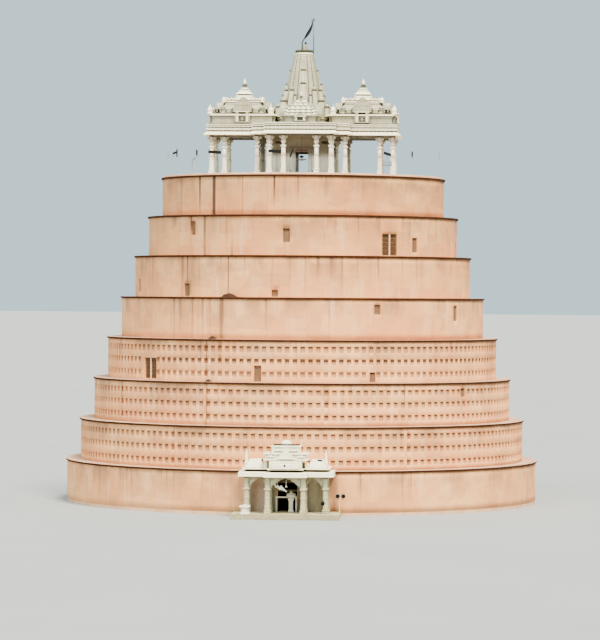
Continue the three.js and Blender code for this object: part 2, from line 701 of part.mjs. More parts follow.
const porchRoofTop = join([
  block(real(2130), real(1450), real(5490), real(5620), 0, -real(26200)),
  block(real(1950), real(1300), real(5600), real(6080), 0, -real(26200)),
  block(real(2130), real(1450), real(6080), real(6200), 0, -real(26200)),
  block(real(1360), real(1050), real(6190), real(6780), 0, -real(26200)),
  block(real(1480), real(1150), real(6780), real(6900), 0, -real(26200)),
  block(real(900), real(650), real(6890), real(7040), 0, -real(26200)),
  turned([
    [0, real(7030)], [real(520), real(7030)], [real(560), real(7150)], [real(300), real(7290)],
    [real(90), real(7330)], [real(60), real(7560)], [0, real(7560)],
  ], 8, 0, -real(26200)),
]);
node('porch_roof_upper', porchRoofTop, marble());

// Doorway surround inside the tower's doorway: jambs, transom and cusped head
const FRAME = real(110);
const frameOuter = DOOR_HALF_WIDTH - JOINT_GAP;
const frameFront = BASE_RADIUS + real(90);
const frameBack = BASE_RADIUS - real(420);
const doorFrame = join([
  box(-frameOuter, -frameOuter + FRAME, -frameFront, -frameBack, FLOOR_TOP, DOOR_HEAD - JOINT_GAP),
  box(frameOuter - FRAME, frameOuter, -frameFront, -frameBack, FLOOR_TOP, DOOR_HEAD - JOINT_GAP),
  box(-frameOuter, frameOuter, -frameFront, -frameBack, DOOR_HEAD - FRAME - JOINT_GAP, DOOR_HEAD - JOINT_GAP),
  box(-frameOuter, frameOuter, -frameFront + real(80), -frameBack, real(2350), real(2550)),
]);
const platformEdge = box(
  -PORCH_HALF_WIDTH, PORCH_HALF_WIDTH, -PORCH_FRONT, -BASE_RADIUS + real(100), 0, PORCH_FLOOR + JOINT_GAP,
);
node('door_frame', doorFrame.subtract(platformEdge), marble());

export default temple;
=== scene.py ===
"""Looks of a stepped round tower temple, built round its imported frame.

Shapes are drawn in the real building's metres and become objects at the model's scale.
The porch faces -Y, and bearings run in degrees from there towards +X.
"""
import math
import random

import bpy
from mathutils import Matrix


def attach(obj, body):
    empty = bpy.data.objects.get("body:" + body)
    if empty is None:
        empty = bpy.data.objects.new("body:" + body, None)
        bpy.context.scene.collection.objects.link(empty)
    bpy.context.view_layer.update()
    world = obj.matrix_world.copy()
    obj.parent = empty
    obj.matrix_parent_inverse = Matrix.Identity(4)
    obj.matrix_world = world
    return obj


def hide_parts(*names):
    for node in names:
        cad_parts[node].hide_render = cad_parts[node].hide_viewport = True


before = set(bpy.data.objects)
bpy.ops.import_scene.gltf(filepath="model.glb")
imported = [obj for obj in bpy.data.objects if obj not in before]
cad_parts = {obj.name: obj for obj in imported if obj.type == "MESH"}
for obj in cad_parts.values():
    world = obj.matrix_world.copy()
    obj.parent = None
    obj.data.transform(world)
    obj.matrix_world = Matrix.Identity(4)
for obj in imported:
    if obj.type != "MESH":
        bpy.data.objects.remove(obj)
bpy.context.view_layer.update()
dice = random.Random(7)

# Building
SCALE = 0.5
TIERS = 8
TERRACE_TOPS = [4.315, 8.48, 12.665, 16.82, 20.925, 25.07, 29.105, 33.1]
TIER_STEP = 1.375
BASE_RADIUS = 24.13
WALL = 0.45
TERRACE = 0.18
LIP = 0.14
FLOOR_TOP = 0.3
SUMMIT = TERRACE_TOPS[-1]
TEMPLE_LEVEL = SUMMIT - TERRACE

# Camera, fitted to the photograph's 600 x 640 frame
CAMERA_DISTANCE = 326.5
CAMERA_HEIGHT = 21.4
CAMERA_BEARING = 3.1
FOCAL_PIXELS = 3160
AXIS_RIGHT_PIXELS = 2.4
HORIZON_ABOVE_PIXELS = 27.25
CAMERA_ROLL = 0.4
PHOTO_HEIGHT_PIXELS = 640
SENSOR = 36
FARTHEST = 3000


def make_camera():
    data = bpy.data.cameras.new("camera")
    data.sensor_width = SENSOR
    data.lens = FOCAL_PIXELS * SENSOR / PHOTO_HEIGHT_PIXELS
    data.clip_end = FARTHEST
    camera = bpy.data.objects.new("camera", data)
    bearing = math.radians(CAMERA_BEARING)
    reach = CAMERA_DISTANCE * SCALE
    place = (reach * math.sin(bearing), -reach * math.cos(bearing), CAMERA_HEIGHT * SCALE)
    yaw = bearing + math.atan(AXIS_RIGHT_PIXELS / FOCAL_PIXELS)
    tilt = math.radians(90) - math.atan(HORIZON_ABOVE_PIXELS / FOCAL_PIXELS)
    camera.matrix_world = (
        Matrix.Translation(place)
        @ Matrix.Rotation(yaw, 4, "Z")
        @ Matrix.Rotation(tilt, 4, "X")
        @ Matrix.Rotation(math.radians(CAMERA_ROLL), 4, "Z")
    )
    bpy.context.collection.objects.link(camera)
    bpy.context.scene.camera = camera


make_camera()


# The usual curve between a colour as seen and its linear value
CURVE_KNEE, CURVE_SLOPE, CURVE_OFFSET, CURVE_POWER = 0.04, 12.92, 0.055, 2.4


def linear(value):
    part = value / 255
    if part < CURVE_KNEE:
        return part / CURVE_SLOPE
    return ((part + CURVE_OFFSET) / (1 + CURVE_OFFSET)) ** CURVE_POWER


def srgb(red, green, blue):
    """A colour as seen, in 0 to 255, as the linear colour that shaders take."""
    return (linear(red), linear(green), linear(blue), 1)


HOLLOW_SAMPLES = 6


class Graph:
    """A short way to write a material's nodes."""

    def __init__(self, name, roughness=0.8, metallic=0.0):
        self.material = bpy.data.materials.new(name)
        self.material.use_nodes = True
        self.nodes = self.material.node_tree.nodes
        self.links = self.material.node_tree.links
        self.shader = self.nodes["Principled BSDF"]
        self.shader.inputs["Roughness"].default_value = roughness
        self.shader.inputs["Metallic"].default_value = metallic

    def put(self, socket, value):
        """Links or sets a socket. A colour of three numbers is as seen, one of four is linear."""
        if isinstance(value, bpy.types.NodeSocket):
            self.links.new(value, socket)
        elif isinstance(value, tuple) and len(value) == 3:
            socket.default_value = srgb(*value)
        else:
            socket.default_value = value

    def fill(self, node, inputs):
        """Gives each of these inputs of the node its value or its link."""
        for name, value in inputs.items():
            self.put(node.inputs[name], value)
        return node.outputs

    def math(self, operation, *values):
        node = self.nodes.new("ShaderNodeMath")
        node.operation = operation
        return self.fill(node, dict(enumerate(values)))[0]

    def times(self, first, second):
        return self.math("MULTIPLY", first, second)

    def plus(self, first, second):
        return self.math("ADD", first, second)

    def less(self, first, second):
        return self.math("SUBTRACT", first, second)

    def steps(self, value, low, high):
        """Rises smoothly from 0 at low to 1 at high; falls where low is the larger."""
        node = self.nodes.new("ShaderNodeMapRange")
        node.interpolation_type = "SMOOTHSTEP"
        falls = float(low > high)
        low, high = min(low, high), max(low, high)
        ends = {"From Min": low, "From Max": high, "To Min": falls, "To Max": 1.0 - falls}
        return self.fill(node, {"Value": value, **ends})["Result"]

    def mix(self, factor, low, high, blend="MIX"):
        node = self.nodes.new("ShaderNodeMix")
        node.data_type = "RGBA"
        node.blend_type = blend
        return self.fill(node, {0: factor, 6: low, 7: high})[2]

    def over(self, colour, mask, amount, tone):
        """Lays a tone over a colour where the mask is strong, by as much as the amount."""
        return self.mix(self.times(mask, amount), colour, tone)

    def vector(self, x, y, z):
        return self.fill(self.nodes.new("ShaderNodeCombineXYZ"), {0: x, 1: y, 2: z})[0]

    def split(self, vector):
        return self.fill(self.nodes.new("ShaderNodeSeparateXYZ"), {0: vector})

    def place(self):
        """The point on the building in real metres: its vector and its x, y and z."""
        node = self.nodes.new("ShaderNodeVectorMath")
        node.operation = "SCALE"
        point = self.nodes.new("ShaderNodeTexCoord").outputs["Object"]
        real = self.fill(node, {0: point, "Scale": 1 / SCALE})[0]
        return [real, *self.split(real)]

    def noise(self, vector, scale, detail, roughness=0.6):
        node = self.nodes.new("ShaderNodeTexNoise")
        inputs = {"Vector": vector, "Scale": scale, "Detail": detail, "Roughness": roughness}
        return self.fill(node, inputs)[0]

    def stones(self, vector, width, height, mortar):
        """Random tint from 0 to 1 of each block, and the mask of the joints."""
        outputs = self.fill(self.nodes.new("ShaderNodeTexBrick"), {
            "Vector": vector, "Scale": 1.0, "Brick Width": width, "Row Height": height,
            "Color1": (0, 0, 0, 1), "Color2": (1, 1, 1, 1), "Mortar": (0.5, 0.5, 0.5, 1),
            "Mortar Size": mortar, "Mortar Smooth": 0.2,
        })
        return outputs["Color"], outputs["Fac"]

    def attribute(self, name):
        node = self.nodes.new("ShaderNodeAttribute")
        node.attribute_name = name
        return node.outputs["Fac"]

    def hollow(self, distance):
        """How open the surface is, from 0 in a tight corner to 1."""
        node = self.nodes.new("ShaderNodeAmbientOcclusion")
        node.samples = HOLLOW_SAMPLES
        return self.fill(node, {"Distance": distance * SCALE})["AO"]

    def upward(self):
        return self.split(self.nodes.new("ShaderNodeNewGeometry").outputs["Normal"])[2]

    def bump(self, height, strength, distance):
        inputs = {"Height": height, "Strength": strength, "Distance": distance * SCALE}
        self.put(self.shader.inputs["Normal"], self.fill(self.nodes.new("ShaderNodeBump"), inputs)[0])

    def finish(self, colour, roughness=None):
        self.put(self.shader.inputs["Base Color"], colour)
        if roughness is not None:
            self.put(self.shader.inputs["Roughness"], roughness)
        return self.material


# Stone facing of the tower, laid out along each tier's own girth
def rose_stone():
    g = Graph("rose_stone")
    point, x, y, z = g.place()
    radius = g.math("SQRT", g.plus(g.times(x, x), g.times(y, y)))
    tier = g.math("FLOOR", g.math("DIVIDE", radius, TIER_STEP))
    arc = g.times(g.math("ARCTAN2", x, g.times(y, -1.0)), radius)
    along = g.plus(arc, g.times(tier, 37.3))
    drop = g.attribute("drop")

    def field(across, up, offset, detail=3.0):
        place = g.vector(g.times(along, across), g.times(z, up), offset)
        return g.noise(place, 1.0, detail, 0.55)

    sway = g.times(g.less(field(0.5, 0.5, 31.0, 4.0), 0.5), 2.2)
    swayed = g.plus(along, sway)
    lifted = g.plus(z, g.times(sway, 0.7))
    panels = g.stones(g.vector(swayed, lifted, 0.0), 2.3, 1.37, 0.0)[0]
    narrow = g.stones(g.vector(g.plus(swayed, 5.1), lifted, 0.0), 1.05, 1.9, 0.0)[0]
    blocks, joint = g.stones(g.vector(along, z, 0.0), 0.92, 0.46, 0.005)
    grain = g.noise(point, 22.0, 6, 0.7)
    colour = g.mix(g.steps(field(0.11, 0.16, 0.0), 0.36, 0.64), (234, 155, 95), (246, 175, 110))
    colour = g.over(colour, g.steps(panels, 0.3, 0.9), 0.4, (196, 132, 86))
    colour = g.over(colour, g.steps(narrow, 0.68, 0.92), 0.34, (244, 190, 136))
    colour = g.over(colour, g.steps(blocks, 0.55, 1.0), 0.16, (190, 124, 86))
    near_lip = g.steps(drop, 2.6, 0.15)
    damp = g.times(g.steps(field(0.3, 0.2, 5.0), 0.46, 0.62), near_lip)
    colour = g.over(colour, damp, 0.7, (166, 114, 74))
    runs = field(2.3, 0.1, 8.0)
    fading = g.plus(g.times(g.steps(drop, 3.4, 0.2), 0.66), 0.14)
    colour = g.over(colour, g.steps(runs, 0.56, 0.74), fading, (146, 94, 60))
    pale = g.times(g.steps(field(1.3, 0.12, 13.0), 0.58, 0.7), 0.6)
    colour = g.mix(pale, colour, (243, 186, 138))
    wash = g.times(g.attribute("wash"), g.steps(field(0.9, 0.25, 17.0), 0.28, 0.56))
    colour = g.mix(wash, colour, (152, 104, 70))
    height = g.steps(z, 17.0, 32.0)
    colour = g.mix(height, colour, g.mix(1.0, colour, (0.79, 0.785, 0.745, 1), "MULTIPLY"))
    stain = g.attribute("stain")
    ragged = g.plus(stain, g.times(g.less(field(3.2, 0.3, 21.0), 0.5), 0.6))
    stained = g.times(g.steps(ragged, 0.14, 0.9), g.steps(stain, 0.0, 0.06))
    colour = g.over(colour, stained, 0.95, (70, 34, 14))
    # Painted shade in the niches, darkest in the band under their heads
    painted_niche_shade = g.steps(g.attribute("painted_niche_shade"), 0.55, 1.0)
    colour = g.over(colour, painted_niche_shade, 0.9, (80, 54, 38))
    colour = g.over(colour, joint, 0.16, (160, 95, 62))
    g.bump(g.less(g.times(grain, 0.35), g.times(joint, 0.5)), 0.4, 0.02)
    return g.finish(colour, g.plus(0.74, g.times(grain, 0.2)))


def kerb_stone():
    """The same stone without marks, for the kerb and the ground floor."""
    g = Graph("rose_kerb_stone")
    point = g.place()[0]
    cloud = g.noise(point, 0.7, 5)
    fine = g.noise(point, 9.0, 5, 0.7)
    colour = g.mix(g.steps(cloud, 0.35, 0.65), (204, 156, 118), (218, 176, 136))
    colour = g.over(colour, g.steps(fine, 0.5, 0.75), 0.3, (186, 120, 85))
    g.bump(fine, 0.3, 0.02)
    return g.finish(colour, g.plus(0.74, g.times(fine, 0.2)))


def coping():
    """Slabs of the terraces: rosy on top, with painted shade that makes the edge faces dark."""
    g = Graph("coping")
    point = g.place()[0]
    top = g.steps(g.upward(), 0.35, 0.9)
    cloud = g.noise(point, 0.6, 5)
    fine = g.noise(point, 7.0, 5)
    pale = g.mix(g.steps(cloud, 0.35, 0.7), (186, 148, 120), (206, 172, 142))
    # Painted shade: the edge faces, told from the tops by their slope, take these dark tones
    dark = g.mix(g.steps(fine, 0.3, 0.75), (44, 20, 8), (76, 40, 20))
    g.shader.inputs["Specular IOR Level"].default_value = 0.08
    g.bump(fine, 0.35, 0.02)
    return g.finish(g.mix(top, dark, pale), 0.9)


def marble_stone(name, light, shade, grime_and_shade, streak, reach=0.35, crevice_shade=0.8, shade_from=None):
    """Carved marble: soft veins and rain streaks, with painted shade where the carving is deep and above a
    height.
    """
    g = Graph(name, roughness=0.5)
    point, x, y, z = g.place()
    cloud = g.noise(point, 0.9, 5)
    veins = g.noise(g.vector(x, y, g.times(z, 0.4)), 3.0, 8, 0.72)
    drawn_out = g.vector(g.times(x, 4.0), g.times(y, 4.0), g.times(z, 0.5))
    streaks = g.noise(drawn_out, 1.0, 4)
    colour = g.mix(g.steps(cloud, 0.3, 0.7), light, shade)
    colour = g.over(colour, g.steps(veins, 0.56, 0.62), 0.12, grime_and_shade)
    colour = g.over(colour, g.steps(streaks, 0.5, 0.75), streak, grime_and_shade)
    # Painted shade over everything above a given height
    if shade_from:
        painted_shade = g.times(g.steps(z, shade_from, shade_from + 0.6), 0.62)
        colour = g.mix(painted_shade, colour, grime_and_shade)
    # Painted shade in corners and deep carving, from how closed in the surface is
    deep = g.steps(g.hollow(reach), 0.85, 0.3)
    colour = g.over(colour, deep, crevice_shade, grime_and_shade)
    carving = g.noise(point, 9.0, 3, 0.5)
    g.bump(g.plus(carving, g.times(veins, 0.3)), 0.35, 0.03)
    return g.finish(colour, g.plus(0.42, g.times(cloud, 0.25)))


def sanctum_stone():
    """Marble with painted shade high on the sanctum and in its corners, plain lower down."""
    g = Graph("sanctum_marble", roughness=0.55)
    point, _, _, z = g.place()
    cloud = g.noise(point, 0.8, 5)
    # Painted shade: darker high on the walls, which stand under the roof
    high = g.steps(g.plus(z, g.times(cloud, 0.5)), TEMPLE_LEVEL + 2.3, TEMPLE_LEVEL + 3.2)
    lower_tone = g.mix(g.steps(cloud, 0.3, 0.7), (228, 226, 220), (206, 203, 194))
    painted_shade = g.mix(g.steps(cloud, 0.3, 0.7), (118, 110, 92), (92, 86, 70))
    # Painted shade in corners
    deep = g.times(g.steps(g.hollow(0.3), 0.85, 0.3), 0.6)
    colour = g.mix(deep, g.mix(high, lower_tone, painted_shade), (84, 76, 58))
    g.bump(g.noise(point, 9.0, 3, 0.5), 0.3, 0.03)
    return g.finish(colour)


def porch_lining_stone():
    """Dull slabs on the wall behind the porch, rosier to the left of the doorway."""
    g = Graph("porch_lining", roughness=0.7)
    point, x, _, _ = g.place()
    cloud = g.noise(point, 1.1, 5)
    across = g.steps(g.plus(x, cloud), -1.9, -0.8)
    colour = g.mix(across, (192, 158, 132), (162, 150, 122))
    colour = g.over(colour, g.steps(cloud, 0.4, 0.7), 0.35, (112, 100, 78))
    g.bump(g.noise(point, 9.0, 3, 0.5), 0.3, 0.02)
    return g.finish(colour)


def plain(name, colour, other, roughness, metallic=0.0, scale=6.0):
    """A small fitting's finish: two tones and a fine grain."""
    g = Graph(name, roughness, metallic)
    g.shader.inputs["Specular IOR Level"].default_value = 0.25
    point = g.place()[0]
    cloud = g.noise(point, scale, 5)
    g.bump(g.noise(point, scale * 12, 3), 0.15, 0.01)
    return g.finish(g.mix(g.steps(cloud, 0.3, 0.7), colour, other))


THREADS = 520.0


def cloth_finish():
    g = Graph("flag_cloth", roughness=0.95)
    point, x, _, z = g.place()
    weave = g.times(g.math("SINE", g.times(z, THREADS)), g.math("SINE", g.times(x, THREADS)))
    cloud = g.noise(point, 3.0, 4)
    g.shader.inputs["Sheen Weight"].default_value = 0.02
    g.bump(weave, 0.2, 0.004)
    return g.finish(g.mix(g.steps(cloud, 0.3, 0.7), (18, 22, 25), (32, 37, 40)))


ROSE = rose_stone()
KERB_STONE = kerb_stone()
COPING = coping()
# The summit's marble, with painted shade above the height of the column heads
MARBLE = marble_stone(
    "summit_marble", (246, 238, 216), (232, 223, 198), (120, 108, 78), 0.28, shade_from=TEMPLE_LEVEL + 3.6,
)
EAVE_MARBLE = marble_stone("eave_marble", (255, 248, 216), (252, 241, 204), (96, 86, 60), 0.16, 0.24, 0.9)
ROOF_MARBLE = marble_stone("roof_marble", (178, 170, 142), (154, 145, 118), (82, 74, 52), 0.35, 0.4, 0.85)
BEAM_MARBLE = marble_stone("shaded_beam_marble", (96, 93, 78), (76, 73, 60), (58, 52, 38), 0.3)
# A darker marble that paints the shade on the arms' inner columns, darker still above a height
SHADED_COLUMN_MARBLE = marble_stone(
    "painted_shade_column_marble", (172, 164, 144), (146, 138, 118), (70, 62, 46), 0.4, shade_from=TEMPLE_LEVEL + 2.6,
)
SANCTUM_MARBLE = sanctum_stone()
SPIRE_MARBLE = marble_stone("spire_marble", (176, 168, 138), (154, 146, 118), (84, 76, 52), 0.4, 0.26)
PORCH_MARBLE = marble_stone("porch_marble", (194, 183, 144), (172, 160, 122), (76, 64, 40), 0.4, 0.5)
HALF_SPIRE_MARBLE = marble_stone(
    "half_spire_marble", (204, 194, 162), (184, 175, 144), (92, 82, 58), 0.3, 0.24,
)
PORCH_LINING = porch_lining_stone()
CORNICE_MARBLE = marble_stone(
    "cornice_marble", (224, 214, 186), (204, 193, 164), (90, 80, 56), 0.3, 0.24, 0.9,
)
POT_STONE = plain("crown_pot_stone", (120, 122, 96), (150, 150, 122), 0.8)
# Painted shade on the half-spires' ribbed discs
DISC_STONE = plain("painted_shade_disc", (84, 78, 58), (112, 104, 80), 0.9)
# Painted shade: a near black for dark bars and lines where shade falls
SHADE_DARK = plain("painted_shade_dark", (30, 24, 14), (48, 38, 24), 0.95)
# Painted shade for the doorway's head, its transom and the wall above it
DOORWAY_SHADE_STONE = plain("painted_doorway_shade", (74, 62, 42), (102, 88, 62), 0.95)
POLE_METAL = plain("pole_metal", (70, 74, 78), (96, 100, 102), 0.5, 0.3)
# A dark stone for the crown's ribbed disc
CROWN_STONE = plain("dark_crown_stone", (54, 54, 38), (80, 78, 56), 0.85)
LINTEL_STONE = plain("red_lintel", (92, 60, 44), (116, 80, 60), 0.75)
DARK_METAL = plain("dark_metal", (16, 16, 14), (30, 29, 26), 0.6, 0.2)
LAMP_BLACK = plain("lamp_black", (9, 9, 8), (18, 17, 15), 0.95)
# Painted shade for the gaps, grooves and dark discs of the roofs and the cornice
GAP_SHADE = plain("painted_gap_shade", (66, 59, 42), (92, 84, 62), 0.9, scale=3.0)
LAMP_GREY = plain("lamp_grey", (120, 126, 128), (150, 154, 152), 0.5, 0.3)
SHUTTER = plain("window_louvre", (126, 90, 62), (146, 106, 76), 0.8)
GRILLE = plain("window_grille", (88, 62, 36), (112, 82, 52), 0.75)
MULLION = plain("window_mullion", (226, 180, 142), (238, 194, 156), 0.85)
CLOTH = cloth_finish()
DRY_DIRT = plain("dry_dirt", (36, 20, 10), (66, 38, 22), 0.95)


class Shape:
    """A growing mesh in real metres."""

    def __init__(self):
        self.points = []
        self.faces = []
        self.smooth = []
        self.marks = {}

    def face(self, corners, smooth=False):
        self.faces.append(tuple(corners))
        self.smooth.append(smooth)

    def mark(self, name, value):
        """Keeps a value, for the material to read, at the point that comes next."""
        if value:
            self.marks.setdefault(name, {})[len(self.points)] = value

    def stack(self, loops, smooth=False):
        """Skins and caps loops that run counter-clockwise seen from the end of the stack."""
        first = len(self.points)
        count = len(loops[0])
        for loop in loops:
            self.points += loop
        for level in range(len(loops) - 1):
            for i in range(count):
                a = first + level * count + i
                b = first + level * count + (i + 1) % count
                self.face((a, b, b + count, a + count), smooth)
        last = first + (len(loops) - 1) * count
        self.face(range(first + count - 1, first - 1, -1))
        self.face(range(last, last + count))

    def merge(self, other, at=(0, 0, 0), turn=0.0):
        """Takes in another shape, turned about the axis and then moved."""
        first = len(self.points)
        cos, sin = math.cos(math.radians(turn)), math.sin(math.radians(turn))
        for x, y, z in other.points:
            self.points.append((at[0] + (x * cos - y * sin), at[1] + (x * sin + y * cos), at[2] + z))
        self.faces += [tuple(first + i for i in face) for face in other.faces]
        self.smooth += other.smooth

    def around(self, other, turns=(0, 90, 180, 270)):
        for turn in turns:
            self.merge(other, turn=turn)

    def block(self, x0, x1, y0, y1, z0, z1):
        x0, x1 = sorted((x0, x1))
        corners = [(x0, y0), (x1, y0), (x1, y1), (x0, y1)]
        self.stack([[(x, y, z) for x, y in corners] for z in (z0, z1)])

    def moulding(self, corners, profile, at=(0, 0)):
        """Sweeps a profile of (grow, height) round a plan."""
        self.stack([
            [(at[0] + x, at[1] + y, z) for x, y in grown(corners, grow)] for grow, z in profile
        ])

    def lathe(self, profile, sides, at=(0, 0), smooth=True, ribs=0, rib_depth=0.0):
        """Turns a profile of (radius, height) about an upright axis."""
        loops = []
        for radius, z in profile:
            loop = []
            for i in range(sides):
                angle = math.tau * i / sides
                swell = 1 - rib_depth * (1 - abs(math.cos(angle * ribs / 2))) if ribs else 1
                reach = radius * swell
                loop.append((at[0] + reach * math.cos(angle), at[1] + reach * math.sin(angle), z))
            loops.append(loop)
        self.stack(loops, smooth)

    def plate(self, outline, y0, y1):
        """An upright plate: an outline drawn counter-clockwise in x and z, from y0 to y1."""
        self.stack([[(x, y, z) for x, z in outline] for y in (y1, y0)])

    def boss(self, profile, sides, x, y, z):
        """Turns a profile of (radius, reach) about an axis that points to -Y."""
        loops = []
        for radius, reach in profile:
            loop = []
            for i in range(sides):
                angle = math.tau * i / sides
                loop.append((x + radius * math.cos(angle), y - reach, z + radius * math.sin(angle)))
            loops.append(loop)
        self.stack(loops, True)

    def made(self, name, material, *replaces, slot="marble"):
        """The shape as a piece of the scene, at the model's scale."""
        mesh = bpy.data.meshes.new(name)
        mesh.from_pydata([tuple(SCALE * c for c in point) for point in self.points], [], self.faces)
        mesh.polygons.foreach_set("use_smooth", self.smooth)
        for kind, values in self.marks.items():
            layer = mesh.attributes.new(kind, "FLOAT", "POINT")
            for index, value in values.items():
                layer.data[index].value = value
        mesh.materials.append(material)
        piece = bpy.data.objects.new(name, mesh)
        bpy.context.collection.objects.link(piece)
        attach(piece, "root")
        if replaces:
            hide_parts(*replaces)
        return piece


def grown(corners, grow):
    """A counter-clockwise plan with each side moved out by the same amount."""
    result = []
    for i, (x, y) in enumerate(corners):
        ax, ay = corners[i - 1]
        bx, by = corners[(i + 1) % len(corners)]
        before = math.hypot(x - ax, y - ay)
        after = math.hypot(bx - x, by - y)
        n1 = ((y - ay) / before, (ax - x) / before)
        n2 = ((by - y) / after, (x - bx) / after)
        scale = grow / (1 + n1[0] * n2[0] + n1[1] * n2[1])
        result.append((x + (n1[0] + n2[0]) * scale, y + (n1[1] + n2[1]) * scale))
    return result


def fitted(profile, wide, low, tall):
    """A profile whose pairs are shares of a width, and of a height from low upwards."""
    return [(wide * across, low + tall * up) for across, up in profile]


def rectangle(half_x, half_y):
    return [(-half_x, -half_y), (half_x, -half_y), (half_x, half_y), (-half_x, half_y)]


def turned_plan(side):
    """Four turned copies of one side's points, as one plan."""
    plan = []
    for cos, sin in ((1, 0), (0, 1), (-1, 0), (0, -1)):
        plan += [(x * cos - y * sin, x * sin + y * cos) for x, y in side]
    return plan


def stepped_square(half, inset):
    """A square whose corners step in."""
    return turned_plan([(-half + inset, -half), (half - inset, -half), (half - inset, -half + inset)])


CUSP_STEPS = 5


def cusped_curve(x0, x1, spring, rise, cusps, bulge):
    """Points of a cusped arch from left to right."""
    middle, half = (x0 + x1) / 2, (x1 - x0) / 2
    points = []
    for cusp in range(cusps):
        for step in range(CUSP_STEPS):
            t = step / CUSP_STEPS
            angle = math.pi * (1 - (cusp + t) / cusps)
            out = bulge * math.sin(math.pi * t)
            x, z = middle + (half + out) * math.cos(angle), spring + (rise + out) * math.sin(angle)
            points.append((x, z))
    points.append((x1, spring))
    return points


# Windows: tier, bearing, width, sill above the ground, height. Each repeats at the back.
WINDOWS = [
    (7, -40.4, 0.56, 27.07, 1.40), (7, -2.8, 0.69, 26.37, 1.35), (7, 35.9, 1.78, 25.14, 2.14),
    (7, 47.7, 0.74, 25.49, 1.45), (7, 82.6, 0.74, 25.14, 1.23), (6, -71.0, 0.74, 21.365, 1.31),
    (6, -38.6, 0.74, 20.995, 1.25), (6, -6.0, 0.64, 20.995, 0.67), (5, 26.3, 0.66, 19.32, 0.96),
    (5, 58.2, 0.64, 18.67, 1.52), (4, -45.6, 1.84, 12.815, 2.04), (4, -9.4, 0.72, 12.735, 1.53),
    (4, 23.2, 0.60, 12.745, 0.95), (3, 51.1, 0.66, 11.23, 0.82),
]
GRILLE_WIDTH = 1.5
DOOR_HALF = 1.05
DOOR_HEAD = 3.3

# Niches: tier, pitch along the wall, sills and heads of the rows above the ground
NICHE_ROWS = {
    4: (0.756, ((13.185, 13.705), (14.415, 14.945), (15.575, 16.165))),
    3: (0.784, ((9.03, 9.55), (10.27, 10.79), (11.46, 11.98))),
    2: (0.778, ((4.76, 5.27), (6.045, 6.575), (7.275, 7.795))),
}
NICHE_WIDTH = 0.44
NICHE_DEPTH_TOP = 0.16
NICHE_DEPTH_SILL = 0.06
NICHE_SHADE = 0.15
NICHE_MARGIN, NICHE_CLEARANCE = 0.05, 0.12
# Painted shade on the niche's back: how dark it is at its sill, under the band, at the band's foot and at
# its head
NICHE_PAINTED_SHADE = (0.74, 0.84, 1.0, 1.0)

# How the rest of the wall is cut up, and the least step in degrees and in metres
EVEN_BEARINGS, EVEN_HEIGHTS = 180, 6
LEAST_TURN, LEAST_RISE = 0.02, 0.004
ROUND_SIDES = 240

# Rain stains: tier, bearing, half width in metres, darkness at the top and at the foot
STREAKS = [
    (8, -54.5, 0.16, 0.6, 0.5), (8, -42.4, 0.18, 1.0, 0.35), (8, -34.7, 0.27, 1.4, 1.3),
    (8, -21.4, 0.12, 0.6, 0.4), (8, -8.3, 0.16, 0.95, 0.1), (8, 12.0, 0.3, 0.35, 0.1),
    (7, -51.0, 0.18, 0.4, 0.1), (7, -34.8, 0.24, 0.6, 0.55), (7, -23.0, 0.24, 0.1, 0.5),
    (7, 30.5, 0.34, 0.4, 0.0), (7, 42.0, 0.34, 0.45, 0.1), (6, -40.8, 0.3, 0.5, 0.45),
    (6, -38.4, 0.14, 0.65, 0.55), (6, -22.0, 0.12, 0.7, 0.5), (7, -41.6, 0.14, 0.95, 0.1),
    (6, 4.0, 0.18, 0.5, 0.3), (6, 8.0, 0.26, 0.6, 0.0), (6, 12.5, 0.34, 0.62, 0.0),
    (6, 16.0, 0.2, 0.5, 0.2), (5, -54.5, 0.2, 0.45, 0.0), (5, -39.9, 0.24, 0.55, 0.4),
    (5, -37.3, 0.3, 0.6, 0.1), (5, -32.5, 0.2, 0.5, 0.4), (5, -28.6, 0.24, 0.5, 0.25),
    (5, -26.1, 0.2, 0.5, 0.25), (5, -22.1, 0.4, 0.6, 0.5), (5, -7.9, 0.24, 0.5, 0.1),
    (4, -24.8, 0.16, 0.6, 0.5), (4, -20.5, 0.36, 0.55, 0.0), (3, -53.9, 0.2, 0.6, 0.5),
    (3, -22.6, 0.16, 0.6, 0.5), (3, 9.0, 0.24, 0.4, 0.0), (2, -30.0, 0.16, 0.45, 0.1),
    # The tier-1 row darkens a band of the wall just right of the porch
    (2, 30.0, 0.16, 0.4, 0.2), (1, 11.0, 0.42, 0.42, 0.42),
]
STREAK_CORE = 0.375

# Broad damp patches, in the same columns
WASHES = [
    (8, -62.0, 2.4, 0.55, 0.1), (8, -46.0, 1.6, 0.5, 0.1), (8, -27.0, 1.2, 0.35, 0.1),
    (8, -1.0, 2.2, 0.4, 0.0), (8, 28.0, 1.0, 0.35, 0.0), (7, -31.5, 2.0, 0.6, 0.05),
    (7, 3.0, 1.6, 0.35, 0.0), (7, 27.5, 1.2, 0.4, 0.0), (6, -37.0, 1.6, 0.8, 0.45),
    (6, 13.5, 3.4, 0.6, 0.0), (6, 26.0, 1.4, 0.45, 0.0), (6, 46.0, 1.6, 0.4, 0.0),
    (5, -37.3, 1.5, 0.6, 0.0), (5, -22.1, 1.0, 0.5, 0.3), (5, 62.0, 2.6, 0.4, 0.1),
    (4, -23.0, 1.4, 0.4, 0.0), (3, -40.0, 2.5, 0.3, 0.1), (1, 20.0, 3.0, 0.3, 0.1),
    # The tier-1 row at bearing 10.2 darkens that same band beside the porch
    (1, 10.2, 1.0, 1.0, 1.0), (1, -12.0, 0.8, 0.6, 0.5),
]


def wall_radius(tier):
    return BASE_RADIUS - TIER_STEP * (tier - 1)


def tier_floor(tier):
    return FLOOR_TOP if tier == 1 else TERRACE_TOPS[tier - 2]


def wrap(bearing):
    return (bearing + 180) % 360 - 180


